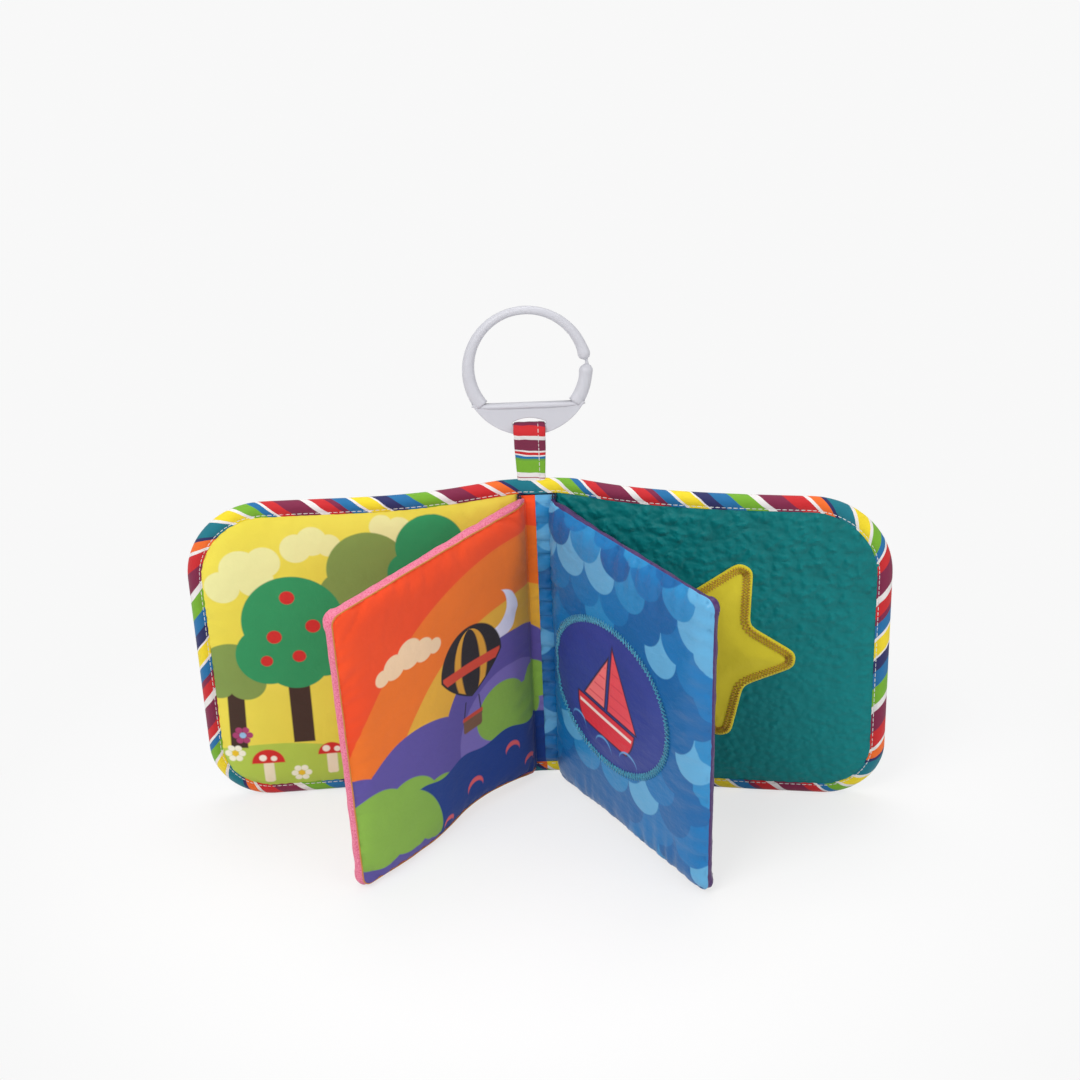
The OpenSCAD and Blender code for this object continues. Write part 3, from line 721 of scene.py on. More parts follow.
def embossed(name, rgb):
    """Teal plush pressed with small uneven pebbles, with painted shade in the hollows between them."""
    k = Look(name, rough=0.55, sheen=0.0, specular=0.20)
    p = k.plan()
    x, y, _ = k.split(p)
    warp = k.noise(p, 0.16, 2.0)
    q = k.join(k.scale(warp, 5.0, x), k.scale(warp, -4.0, y))
    pebbles = k.add("ShaderNodeTexVoronoi", feature="SMOOTH_F1")
    k.put(pebbles.inputs["Vector"], q)
    pebbles.inputs["Scale"].default_value = 0.20
    pebbles.inputs["Smoothness"].default_value = 0.6
    small = k.add("ShaderNodeTexVoronoi", feature="SMOOTH_F1")
    k.put(small.inputs["Vector"], k.join(k.times(x, 0.8), y))
    small.inputs["Scale"].default_value = 0.36
    small.inputs["Smoothness"].default_value = 0.5
    calm = k.scale(y, 0.012, -0.75, clamp=True)
    big = k.times(pebbles.outputs["Distance"], k.scale(calm, 1.0, 0.45))
    height = k.plus(big, k.times(small.outputs["Distance"], 0.4))
    height = k.times(height, -1.0)
    # Painted shade: the colour turns darker in the hollows between the pebbles, where the bump sinks.
    valley_shade = k.scale(height, -0.5, 0.1, clamp=True)
    c = k.mix(valley_shade, linear(rgb), linear(darker(rgb, 0.75)))
    c = tinted(k, c, p, 0.14, 0.03)
    fine = k.bump(k.noise(p, 2.2, 2.0, 0.6), 0.08, 0.5)
    return k.finish(c, k.bump(height, 2.0, 0.85, fine))


STRIPES = [
    (6.0, RED), (12.0, PLUM), (4.0, OFF_WHITE), (7.0, RED), (3.0, PLUM), (7.0, TAPE_BLUE), (2.0, OFF_WHITE),
    (8.0, TAPE_YELLOW), (1.5, OFF_WHITE), (7.0, NAVY), (8.0, TAPE_BLUE), (10.0, TAPE_GREEN), (4.0, OFF_WHITE),
    (11.0, PLUM), (9.0, RED), (2.0, OFF_WHITE), (6.0, TAPE_ORANGE), (2.0, NAVY), (11.0, TAPE_TEAL),
    (2.3, OFF_WHITE), (8.0, TAPE_YELLOW), (2.0, OFF_WHITE), (7.0, TAPE_GREEN), (4.0, TAPE_BLUE),
    (2.0, OFF_WHITE),
]
STRIPE_PERIOD = sum(w for w, _ in STRIPES)
STRIPE_START = 125.3
SLANT = math.tan(math.radians(50))


def tape_finish(k, colour, p, lumps):
    """The weave and the small lumps of sewn tape."""
    c = tinted(k, colour, p, 0.12, 0.2)
    fine = k.bump(k.weave(p, 0.4), 0.03, 0.5)
    return k.finish(c, k.bump(k.noise(p, lumps, 3.0), 0.6, 0.3, fine))


def striped_tape(name):
    k = Look(name, rough=0.7, sheen=0.15, specular=0.3)
    p = k.plan()
    s, a, _ = k.split(p)
    q = k.minus(s, k.times(a, SLANT))
    q = k.plus(q, k.times(k.minus(k.noise(p, 0.12, 1.0), 0.5), 1.2))
    t = k.math("FRACT", k.math("DIVIDE", q, STRIPE_PERIOD))
    return tape_finish(k, stripe_ramp(k, t, STRIPES, STRIPE_PERIOD), p, 0.35)


def thread(name, rgb, rough=0.5):
    k = Look(name, rough=rough, sheen=0.2, specular=0.4)
    p = k.space()
    x, y, z = k.split(p)
    twist = k.math("SINE", k.times(k.plus(k.plus(x, y), z), 9.0))
    c = k.mix(k.scale(twist, 0.15, 0.15), linear(rgb), linear(darker(rgb, 0.6)))
    return k.finish(c, k.bump(k.scale(twist, 0.5, 0.5), 0.06, 0.5))


def plastic(name, rgb):
    k = Look(name, rough=0.42, specular=0.45)
    k.bsdf.inputs["Subsurface Weight"].default_value = 0.05
    k.bsdf.inputs["Subsurface Radius"].default_value = (0.002, 0.002, 0.002)
    p = k.space()
    c = tinted(k, k.one(rgb), p, 0.04, 0.1)
    return k.finish(c, k.bump(k.noise(p, 0.2, 2.0), 0.05, 0.1))


yellow_cloth = cotton("yellow_print", cover_print)
leaf_cloth = cotton("evening_print", leaf_print)
scale_satin = satin("scale_satin", scale_print)
teal_cloth = embossed("teal_emboss", TEAL)
outside_cloth = cotton("outside_blue", lambda k, p: k.one(COVER_BLUE), 0.5, 0.85, 0.2)
tape_cloth = striped_tape("tape_stripes")
pink_plush = plush("pink_plush", (214, 92, 122), (248, 158, 184))
purple_satin = satin("purple_satin", lambda k, p: k.one((70, 36, 96)))
white_thread = thread("white_thread", (226, 224, 222))
dark_thread = thread("dark_thread", (40, 36, 60))
gold_thread = thread("gold_thread", (206, 146, 28), 0.4)
turquoise_thread = thread("turquoise_thread", (70, 172, 206), 0.4)
orange_thread = thread("orange_thread", (206, 132, 40))
ring_plastic = plastic("ring_plastic", (195, 195, 202))


# Padded panels

RIM_STEPS = (0.0, 0.9, 2.0, 3.4)


def graded(a, b, step):
    """Grid lines from a to b, closer together near both ends."""
    head = [a + r for r in RIM_STEPS]
    tail = [b - r for r in reversed(RIM_STEPS)]
    n = max(1, int(round((tail[0] - head[-1]) / step)))
    return np.array(head + list(np.linspace(head[-1], tail[0], n + 1))[1:-1] + tail)


def round_corners(u, h, u1, h0, h1, radii):
    """Moves grid points so that the two far corners turn round."""
    u = u.copy()
    h = h.copy()
    for sign, edge, radius in ((1, h1, radii[0]), (-1, h0, radii[1])):
        p = (u - (u1 - radius)) / radius
        q = sign * (h - (edge - sign * radius)) / radius
        m = (p > 0) & (q > 0)
        pu = p[m] * np.sqrt(1 - q[m] ** 2 / 2)
        qh = q[m] * np.sqrt(1 - p[m] ** 2 / 2)
        u[m] = (u1 - radius) + radius * pu
        h[m] = (edge - sign * radius) + sign * radius * qh
    return u, h


def edge_distance(u, h, w, height, radii):
    """How far inside the three sewn edges a point is, and how far along them."""
    upper = h > height / 2
    radius = np.where(upper, radii[0], radii[1])
    x = u - (w - radius)
    y = np.abs(h - height / 2) - (height / 2 - radius)
    corner = (x > 0) & (y > 0)
    d = np.where(corner, radius - np.hypot(x, y), radius - np.maximum(x, y))
    angle = np.arctan2(np.maximum(y, 1e-9), np.maximum(x, 1e-9))
    run = w - radius
    arc = math.pi / 2 * radius
    top = w - radii[0] + math.pi / 2 * radii[0]
    side = top + height - radii[0] - radii[1]
    upright = top + height - radii[0] - h
    on_flat = y > x
    first = np.where(corner, run + (math.pi / 2 - angle) * radius, np.where(on_flat, u, upright))
    last = np.where(corner, side + angle * radius, np.where(on_flat, side + arc + run - u, upright))
    return d, np.where(upper, first, last)


def puckers(s, d, pitch, seed, reach):
    """Pinched valleys that run in from a sewn edge, from 0 down to -1."""
    phase = s / pitch + 0.8 * noise1(s / (2.3 * pitch), seed)
    k = np.round(phase)
    strength = 0.25 + 0.75 * np.abs(noise1(k * 1.0 + 0.5, seed + 3))
    width = 0.10 + 0.016 * np.maximum(d, 0)
    valley = np.exp(-((phase - k) / width) ** 2)
    return -strength * valley * np.exp(-np.maximum(d, 0) / (reach * (0.5 + strength)))


class Pad:
    """A closed padded panel in its own axes: a face grid, side rows and a back grid."""

    def __init__(self, w, height, corner, inset, start, step, rows, root_k, root_r):
        self.w, self.height, self.corner = w, height, corner
        self.root_k, self.root_r = root_k, root_r
        us = graded(start, w - inset, step)
        hs = graded(inset, height - inset, step)
        u, h = np.meshgrid(us, hs, indexing="ij")
        self.nu, self.nh = u.shape
        u, h = round_corners(u, h, w - inset, inset, height - inset, [max(c - inset, 1.5) for c in corner])
        self.u, self.h = u, h
        ring = [(i, 0) for i in range(self.nu)]
        ring += [(self.nu - 1, j) for j in range(1, self.nh)]
        ring += [(i, self.nh - 1) for i in range(self.nu - 2, -1, -1)]
        ring += [(0, j) for j in range(self.nh - 2, 0, -1)]
        self.ring = ring
        bu = np.array([u[i, j] for i, j in ring])
        bh = np.array([h[i, j] for i, j in ring])
        tu = np.roll(bu, -1) - np.roll(bu, 1)
        th = np.roll(bh, -1) - np.roll(bh, 1)
        length = np.hypot(tu, th)
        self.bu, self.bh = bu, bh
        self.nx, self.ny = th / length, -tu / length
        self.rows = rows

    def swell(self, u):
        """Share of the full thickness beside the fold."""
        x = np.clip(u / self.root_r, 0, 1)
        return self.root_k + (1 - self.root_k) * np.sqrt(1 - (1 - x) ** 2)

    def build(self, face_of, back_of, side_seed):
        """face_of and back_of give heights over the plan; rows are (out, n, material)."""
        g = self.nu * self.nh
        u = self.u.ravel()
        h = self.h.ravel()
        k = self.swell(u)
        points = [np.stack([u, h, face_of(u, h) * k], 1)]
        kb = self.swell(self.bu)
        for r, (out, n, _) in enumerate(self.rows):
            fray = 0.18 * noise1(np.arange(len(self.bu)) * 0.23, side_seed + r)
            out = out + fray
            points.append(np.stack([self.bu + self.nx * out, self.bh + self.ny * out, n * kb], 1))
        points.append(np.stack([u, h, back_of(u, h) * k], 1))
        faces = []
        kinds = []
        at = lambda i, j, base: base + i * self.nh + j
        last = g + len(self.rows) * len(self.ring)
        for i in range(self.nu - 1):
            for j in range(self.nh - 1):
                faces.append((at(i, j, 0), at(i + 1, j, 0), at(i + 1, j + 1, 0), at(i, j + 1, 0)))
                kinds.append(0)
                faces.append((at(i, j, last), at(i, j + 1, last), at(i + 1, j + 1, last), at(i + 1, j, last)))
                kinds.append(1)
        loops = [[at(i, j, 0) for i, j in self.ring]]
        for r in range(len(self.rows)):
            loops.append(list(range(g + r * len(self.ring), g + (r + 1) * len(self.ring))))
        loops.append([at(i, j, last) for i, j in self.ring])
        mats = [m for _, _, m in self.rows] + [1]
        for a, b, m in zip(loops, loops[1:], mats):
            for here in range(len(a)):
                after = (here + 1) % len(a)
                faces.append((a[here], b[here], b[after], a[after]))
                kinds.append(m if here < 2 * self.nu + self.nh - 3 else 0)
        self.points = np.concatenate(points)
        self.faces = faces
        self.kinds = kinds
        self.grid = g
        return self

    def tree(self):
        return BVHTree.FromPolygons([Vector(p) for p in self.points], self.faces)

    def surface(self, u, h, toward=1.0):
        """Heights of the face (toward 1) or of the back (toward -1) over plan points."""
        t = self.tree()
        out = []
        for a, b in zip(u, h):
            hit = t.ray_cast(Vector((a, b, 40.0 * toward)), Vector((0, 0, -toward)))
            out.append(hit[0].z if hit[0] is not None else 0.0)
        return np.array(out)

    def plan(self):
        """One UV for each point, in tenths of a metre."""
        return self.points[:, :2] / PLAN_UNIT


PUFF_FRAMES = 16


def puff(points, faces, pinned, pressure, extra, cap):
    """Blows a sewn shell up as cloth, ten times its size; returns its points, moved at most cap."""
    mesh = bpy.data.meshes.new("puff")
    mesh.from_pydata([tuple(p * 0.01) for p in points], [], faces)
    o = bpy.data.objects.new("puff", mesh)
    bpy.context.scene.collection.objects.link(o)
    group = o.vertex_groups.new(name="pin")
    group.add([int(i) for i in np.nonzero(pinned)[0]], 1.0, "REPLACE")
    m = o.modifiers.new("Cloth", "CLOTH")
    s = m.settings
    s.quality = 5
    s.mass = 0.3
    s.tension_stiffness = 15
    s.compression_stiffness = 15
    s.shear_stiffness = 6
    s.bending_stiffness = 0.6
    s.air_damping = 1.5
    s.vertex_group_mass = "pin"
    s.use_pressure = True
    s.uniform_pressure_force = pressure
    s.shrink_min = -extra
    s.effector_weights.gravity = 0.0
    m.collision_settings.use_collision = False
    m.collision_settings.use_self_collision = False
    m.point_cache.frame_start = 1
    m.point_cache.frame_end = PUFF_FRAMES
    scene = bpy.context.scene
    for f in range(1, PUFF_FRAMES + 1):
        scene.frame_set(f)
    deps = bpy.context.evaluated_depsgraph_get()
    e = o.evaluated_get(deps).to_mesh()
    co = np.zeros(len(e.vertices) * 3)
    e.vertices.foreach_get("co", co)
    co = co.reshape(-1, 3) * 100.0
    bpy.data.objects.remove(o)
    bpy.data.meshes.remove(mesh)
    scene.frame_set(1)
    move = co - points
    length = np.linalg.norm(move, axis=1, keepdims=True) + 1e-9
    return points + move / length * cap * np.tanh(length / cap)


def blow(pad, pinned, pressure=2.0, extra=0.012, cap=1.6):
    pad.points = puff(pad.points, pad.faces, pinned, pressure, extra, cap)


def show_pad(pad, name, place, materials, body, nodes):
    o = face_out(add_mesh(name, place.world(pad.points), pad.faces, materials, pad.kinds, pad.plan()))
    dress(o, body, nodes)


def dome(d, full, reach):
    """A rounded rise from a sewn edge to the full height."""
    x = np.clip(d / reach, 0, 1)
    return full * np.sqrt(1 - (1 - x) ** 2)


# Covers: the padded part lies under the tape at its three outer edges
def make_cover(name, place, body, inner, nodes, seed, puff_face, puck):
    pad = Pad(COVER_W, COVER_H, COVER_CORNERS, 3.0, 0.3, 2.0,
              [(0.5, -1.6, 0), (0.6, -3.0, 1), (0.5, -4.4, 1)], 0.24, 16.0)

    def face_of(u, h):
        d, s = edge_distance(u, h, COVER_W, COVER_H, COVER_CORNERS)
        e = d - (TAPE_W - 0.4)
        z = np.where(e < 0, -0.55, dome(e, puff_face, 26.0) - 0.55)
        z = z + puck * puckers(s, e, 9.0, seed, 7.0) * (e > -1) * smooth(u / 14.0)
        z = z + 0.35 * cloudy(u, h, 30.0, seed) * smooth(e / 20.0)
        return z * smooth(u / 9.0 + 0.15)

    def back_of(u, h):
        d, s = edge_distance(u, h, COVER_W, COVER_H, COVER_CORNERS)
        e = d - (TAPE_W - 0.4)
        z = -5.3 - np.where(e < 0, 0.0, dome(e, 2.6, 22.0))
        z = z - puck * puckers(s, e, 11.0, seed + 50, 8.0) * (e > -1) * smooth(u / 14.0)
        return z + 0.3 * cloudy(u, h, 34.0, seed + 9) * smooth(e / 20.0)

    pad.build(face_of, back_of, seed)
    u, h, n = pad.points.T
    d, _ = edge_distance(u, h, COVER_W, COVER_H, COVER_CORNERS)
    back = n < -1.0
    pinned = (d < TAPE_W - 0.6) | (u < 4.0) | (back & (u < 15.0))
    blow(pad, pinned)
    show_pad(pad, name, place, [inner, outside_cloth], body, nodes)
    return pad


left_pad = make_cover("left_cover_pad", LEFT_COVER, "front_cover", yellow_cloth,
                      ["front_inner_cloth", "front_wadding", "front_outer_cloth", "front_print_ground",
                       "front_print_crowns", "front_print_olives", "front_print_trunks", "front_print_clouds",
                       "front_print_toadstools"], 11, 1.6, 0.55)
right_pad = make_cover("right_cover_pad", RIGHT_COVER, "back_cover", teal_cloth,
                       ["back_inner_cloth", "back_wadding", "back_outer_cloth"], 23, 1.5, 0.35)


# Leaves
def make_leaf(name, place, body, face, back, nodes, seed, rows, face_edge, puck, reach, fill):
    pad = Pad(LEAF_W, LEAF_H, LEAF_CORNERS, 1.4, 0.7, 1.9, rows, 0.30, 11.0)

    def face_of(u, h):
        d, s = edge_distance(u, h, LEAF_W, LEAF_H, LEAF_CORNERS)
        z = face_edge + dome(d - 1.4, LEAF_T + 0.6 - face_edge, 9.0)
        z = z + puck * puckers(s, d - 1.4, 8.5, seed, reach)
        fold = puckers(h + 40.0, u - 0.7, 9.0, seed + 7, 6.0)
        z = z + puck * 0.9 * fold * smooth((d - 1.0) / 4.0)
        return z + 0.45 * cloudy(u, h, 24.0, seed) * smooth(d / 14.0)

    def back_of(u, h):
        d, s = edge_distance(u, h, LEAF_W, LEAF_H, LEAF_CORNERS)
        z = 0.3 - dome(d - 1.4, 0.9, 9.0)
        return z - 0.5 * puck * puckers(s, d - 1.4, 9.0, seed + 31, reach)

    pad.build(face_of, back_of, seed)
    u, h, n = pad.points.T
    g = pad.grid
    m = len(pad.ring)
    pinned = np.zeros(len(pad.points), bool)
    seam = [r for r, (_, _, kind) in enumerate(rows) if kind == 2]
    for r in seam:
        pinned[g + r * m: g + (r + 1) * m] = True
    pinned |= u < 1.6
    blow(pad, pinned, pressure=fill, extra=0.02, cap=1.3)
    for r in seam:
        pad.seam = pad.points[g + r * m: g + r * m + 2 * pad.nu + pad.nh - 2]
    show_pad(pad, name, place, [face, back, back], body, nodes)
    return pad


left_rows = [(0.5, 5.3, 0), (0.8, 4.9, 2), (1.7, 5.0, 1), (2.5, 4.2, 1), (2.9, 2.9, 1), (2.7, 1.4, 1),
             (1.9, 0.2, 1)]
left_leaf_pad = make_leaf("left_leaf_pad", LEFT_LEAF, "left_leaf", leaf_cloth, pink_plush,
                          ["left_leaf_face", "left_leaf_wadding", "left_leaf_back", "left_print_orange",
                           "left_print_amber", "left_print_hills", "left_print_bushes", "left_print_water",
                           "left_print_cloud", "left_print_balloon"],
                          41, left_rows, 5.6, 0.6, 6.0, 2.0)
right_rows = [(0.8, 4.4, 0), (1.3, 3.7, 0), (1.2, 3.0, 2), (1.7, 2.7, 1), (2.0, 1.7, 1), (1.7, 0.9, 1),
              (1.0, 0.3, 1)]
right_leaf_pad = make_leaf("right_leaf_pad", RIGHT_LEAF, "right_leaf", scale_satin, purple_satin,
                           ["right_leaf_face", "right_leaf_wadding", "right_leaf_back", "right_print_scales"],
                           57, right_rows, 4.9, 2.5, 9.0, 2.5)


def seam_cord(name, pad, place, body, material, radius):
    """A thin twisted cord that lies in the seam between a leaf's face and its back."""
    line = pad.seam + np.array([0.0, 0.0, 0.25])
    dress(tube(name, [place.world(line)], radius, material, sides=2), body, None)


seam_cord("left_leaf_cord", left_leaf_pad, LEFT_LEAF, "left_leaf", orange_thread, 0.34)


# Binding tape: one length on each side, from the middle of the spine round the cover and back
def tape_path():
    """Plan points of the outer edge, with the inward direction and the length along it."""
    pts = []
    low = LOW_CORNER
    top = TOP_CORNER
    for x in np.arange(-HALF_SPINE, COVER_W - low, 1.5):
        pts.append((x, 0.0, 0.0, 1.0))
    n = 28
    for i in range(n + 1):
        g = math.pi / 2 * i / n
        pts.append((COVER_W - low + low * math.sin(g), low * (1 - math.cos(g)), -math.sin(g), math.cos(g)))
    for y in np.arange(low + 1.5, COVER_H - top, 1.5):
        pts.append((COVER_W, y, -1.0, 0.0))
    for i in range(n + 1):
        g = math.pi / 2 * i / n
        c, s = math.cos(g), math.sin(g)
        pts.append((COVER_W - top + top * c, COVER_H - top * (1 - s), -c, -s))
    for x in np.arange(COVER_W - top - 1.5, -HALF_SPINE, -1.5):
        pts.append((x, COVER_H, 0.0, -1.0))
    pts.append((-HALF_SPINE, COVER_H, 0.0, -1.0))
    p = np.array(pts)
    s = np.concatenate([[0.0], np.cumsum(np.hypot(np.diff(p[:, 0]), np.diff(p[:, 1])))])
    return p, s


TAPE_PATH, TAPE_S = tape_path()
TAPE_PROFILE = [(6.3, 0.70), (6.55, 0.98), (6.3, 1.07), (5.95, 1.06), (5.5, 0.99), (5.05, 1.05), (4.3, 1.12),
                (3.4, 1.12), (2.5, 1.04), (1.7, 0.90), (1.0, 0.70), (0.42, 0.42), (0.1, 0.18), (0.0, 0.0)]


def tape_thickness(u):
    return np.where(u > 0, TAPE_T - 2.4 * np.exp(-(u / 6.0) ** 2), 5.0 - 1.4 * np.exp(-(u / 4.5) ** 2))


def tape_point(s, w, k):
    """Plan points on the tape: s along it, w in from the edge, k half thicknesses toward the reader."""
    x, y, nx, ny = [np.interp(s, TAPE_S, TAPE_PATH[:, i]) for i in range(4)]
    t = tape_thickness(x)
    return np.stack([x + nx * w, y + ny * w, -t / 2 + t / 2 * k], 1)


def make_tape(name, side, spine, cover, nodes, seed):
    profile = TAPE_PROFILE + [(w, -k) for w, k in TAPE_PROFILE[-2::-1]]
    arc = [0.0]
    for (w0, k0), (w1, k1) in zip(profile, profile[1:]):
        arc.append(arc[-1] + math.hypot(w1 - w0, (k1 - k0) * 3.0))
    middle = arc[len(TAPE_PROFILE) - 1]
    total = TAPE_S[-1]
    points = []
    uv = []
    for (w, k), a in zip(profile, arc):
        wave = 0.16 * noise1(TAPE_S / 3.1 + a * 0.2, seed) + 0.12 * noise1(TAPE_S / 1.3, seed + 1)
        lump = wave * min(1.0, w / 3.0) * (1.0 if w < 6.2 else 0.3)
        p = tape_point(TAPE_S, w, k)
        p[:, 2] += lump * (1 if k >= 0 else -1)
        points.append(bent(spine, cover, p))
        along = (total - TAPE_S) * side + STRIPE_START
        uv.append(np.stack([along, np.full(len(TAPE_S), middle - a)], 1) / PLAN_UNIT)
    faces = grid_faces(len(profile), len(TAPE_S))
    o = add_mesh(name, np.concatenate(points), faces, [tape_cloth], None, np.concatenate(uv))
    if side > 0:
        o.data.flip_normals()
    dress(o, None, nodes)
    bend_at_fold(o)


make_tape("left_tape", -1, LEFT_SPINE, LEFT_COVER,
          ["front_tape", "front_stripes_red", "front_stripes_plum", "front_stripes_navy",
           "front_stripes_blue", "front_stripes_green", "spine_tape", "spine_stripes_red"], 71)
make_tape("right_tape", 1, RIGHT_SPINE, RIGHT_COVER,
          ["back_tape", "back_stripes_red", "back_stripes_plum", "back_stripes_navy",
           "back_stripes_blue", "back_stripes_green", "spine_stripes_green"], 73)


def tape_stitches(name, spine, cover):
    """Two rows of white stitches, one on each face of the tape."""
    ends = []
    s = np.arange(2.0, TAPE_S[-1] - 2.0, 2.7)
    for k, lift in ((0.99, 0.10), (-0.99, -0.10)):
        a = tape_point(s, 5.5, k)
        b = tape_point(s + 2.1, 5.5, k)
        a[:, 2] += lift
        b[:, 2] += lift
        ends += list(zip(bent(spine, cover, a), bent(spine, cover, b)))
    o = capsules(name, ends, 0.19, white_thread, 5)
    dress(o, None, None)
    bend_at_fold(o)


tape_stitches("left_tape_stitches", LEFT_SPINE, LEFT_COVER)
tape_stitches("right_tape_stitches", RIGHT_SPINE, RIGHT_COVER)


# Outside cloth that runs from the spine onto each cover
def make_hinge_cloth(name, side, spine, cover, pad, nodes):
    us = np.concatenate([np.linspace(-HALF_SPINE, 4.0, 18), np.linspace(5.0, 13.5, 10)])
    hs = np.linspace(5.5, COVER_H - 5.5, 74)
    u, h = np.meshgrid(us, hs, indexing="ij")
    uf, hf = u.ravel(), h.ravel()
    on_cover = pad.surface(np.maximum(uf, 0.4), hf, -1.0)
    spine_out = -1.5 - 2.9 * np.sqrt(np.clip(1 - (1 - np.clip(-uf / HALF_SPINE, 0, 1)) ** 2, 0, 1))
    w = smooth((uf + 1.0) / 2.0)
    n = spine_out * (1 - w) + on_cover * w - 0.22
    n = n - 0.25 * puckers(hf, np.abs(uf), 9.0, 5, 7.0)
    p = np.stack([uf, hf, n], 1)
    faces = grid_faces(len(us), len(hs))
    o = add_mesh(name, bent(spine, cover, p), faces, [outside_cloth], None, p[:, :2] / PLAN_UNIT)
    if side < 0:
        o.data.flip_normals()
    dress(o, None, nodes)
    bend_at_fold(o)


make_hinge_cloth("left_hinge_cloth", -1, LEFT_SPINE, LEFT_COVER, left_pad,
                 ["spine_outer_cloth"])
make_hinge_cloth("right_hinge_cloth", 1, RIGHT_SPINE, RIGHT_COVER, right_pad,
                 ["spine_wadding"])


# Gutter cloths between the two fold lines; they meet a little to the left of the middle
GUTTER_MIDDLE = -0.7


def make_gutter(name, side, material, nodes, seed, deep):
    edge = side * GUTTER_MIDDLE
    us = np.concatenate([[edge], np.linspace(edge + 0.6, 7.4, 17), [7.9]])
    hs = np.linspace(TAPE_W - 0.7 - LEAF_LIFT, COVER_H - TAPE_W + 0.7 - LEAF_LIFT, 170)
    u, h = np.meshgrid(us, hs, indexing="ij")
    u, h = u.ravel(), h.ravel()
    across = np.sin(np.clip((u + 7.9) / 15.8, 0, 1) * math.pi)
    ends = smooth((h - hs[0]) / 4.0) * smooth((hs[-1] - h) / 4.0)
    n = -0.35 + (0.6 + 1.15 * across ** 0.7) * ends
    pinch = puckers(h, 7.9 - u, 8.0, seed, 5.0) * smooth((u - edge + 1.0) / 3.0)
    folds = np.abs(np.sin(math.pi * (h / 8.0 + 0.5 * noise1(h / 13.0, seed + 4) + 0.02 * u))) ** 0.6 - 0.75
    n = n + deep * (pinch + 0.9 * folds * across ** 0.5 + 0.12 * noise1(h / 2.2 + u * 0.1, seed + 2)) * ends
    n = np.maximum(n, -0.35)
    x = side * u
    points = np.stack([x, INNER_Y - 0.1 - n, LEAF_LIFT + h], 1) * MM
    uv = np.stack([u - LEAF_FOLD, h], 1) / PLAN_UNIT
    o = add_mesh(name, points, grid_faces(len(us), len(hs)), [material], None, uv)
    if side > 0:
        o.data.flip_normals()
    dress(o, "spine", nodes)


make_gutter("left_gutter", -1, leaf_cloth, ["gutter_left_cloth", "spine_inner_cloth"],
            81, 0.8)
make_gutter("right_gutter", 1, scale_satin, ["gutter_right_cloth"], 83, 2.4)


def fold_stitches(name, side, node):
    ends = []
    for z in np.arange(TAPE_W + 1.0, LEAF_LIFT + LEAF_H - 3.0, 2.8):
        y = LEAF_Y - 0.1
        ends.append(((side * 0.0079, y * MM, z * MM), (side * 0.0079, y * MM, (z + 2.1) * MM)))
    for x in (7.2, 8.4):
        ends.append(((side * x * MM, -0.0034, 0.1488), (side * (x + 0.2) * MM, -0.0036, 0.1525)))
    ends.append(((side * 0.0066, -0.0036, 0.1505), (side * 0.0092, -0.0036, 0.1511)))
    dress(capsules(name, ends, 0.3, dark_thread, 6), "spine", [node])


fold_stitches("left_fold_stitches", -1, "left_seam")
fold_stitches("right_fold_stitches", 1, "right_seam")


# Patches
def outline_normals(line):
    t = np.roll(line, -1, 0) - np.roll(line, 1, 0)
    t = t / np.linalg.norm(t, axis=1, keepdims=True)
    return np.stack([-t[:, 1], t[:, 0]], 1)


def even(line, step):
    """Points of a closed line at even steps along it."""
    closed = np.vstack([line, line[:1]])
    s = np.concatenate([[0.0], np.cumsum(np.linalg.norm(np.diff(closed, axis=0), axis=1))])
    n = int(round(s[-1] / step))
    q = np.linspace(0, s[-1], n, endpoint=False)
    return np.stack([np.interp(q, s, closed[:, 0]), np.interp(q, s, closed[:, 1])], 1)


def softened(line, sigma, step):
    """A closed line with its corners rounded."""
    line = even(line, step)
    k = np.fft.fftfreq(len(line), d=step)
    g = np.exp(-2 * (math.pi * k * sigma) ** 2)
    z = np.fft.ifft(np.fft.fft(line[:, 0] + 1j * line[:, 1]) * g)
    return np.stack([z.real, z.imag], 1)


def inside_distance(p, line):
    """Distance from each point to a closed line."""
    a = line[None, :, :]
    b = np.roll(line, -1, 0)[None, :, :]
    q = p[:, None, :]
    t = np.clip(((q - a) * (b - a)).sum(2) / (((b - a) ** 2).sum(2) + 1e-9), 0, 1)
    return np.sqrt(((q - a - t[..., None] * (b - a)) ** 2).sum(2).min(1))


PATCH_STEP = 1.6


def make_patch(name, line, pad, place, body, material, lift, nodes):
    """A thin puffed patch that follows the panel under it."""
    line = even(line, 1.2)
    lo, hi = line.min(0), line.max(0)
    xs, ys = [np.arange(lo[i], hi[i], PATCH_STEP) for i in (0, 1)]
    gx, gy = np.meshgrid(xs, ys, indexing="ij")
    inner = np.stack([gx.ravel(), gy.ravel()], 1)
    n = len(line)
    edges = [(i, (i + 1) % n) for i in range(n)]
    res = delaunay_2d_cdt([Vector(p) for p in np.vstack([line, inner])], edges, [list(range(n))], 1, 1e-5)
    flat = np.array([tuple(v) for v in res[0]])
    tris = [tuple(f) for f in res[2]]
    d = inside_distance(flat, line)
    base = pad.surface(flat[:, 0], flat[:, 1])
    z = base + lift(d, flat)
    points = np.column_stack([flat, z])
    rim = [i for i in range(len(flat)) if d[i] < 1e-3]
    order = sorted(rim, key=lambda i: np.argmin(((line - flat[i]) ** 2).sum(1)))
    low = np.column_stack([flat[order], base[order] - 0.3])
    points = np.vstack([points, low])
    m = len(order)
    skirt = [(order[i], order[(i + 1) % m], len(flat) + (i + 1) % m, len(flat) + i) for i in range(m)]
    o = add_mesh(name, place.world(points), tris + skirt, [material], None, points[:, :2] / PLAN_UNIT)
    face_out(o)
    dress(o, body, nodes)
    return lambda q: pad.surface(q[:, 0], q[:, 1]) + lift(inside_distance(q, line), q)


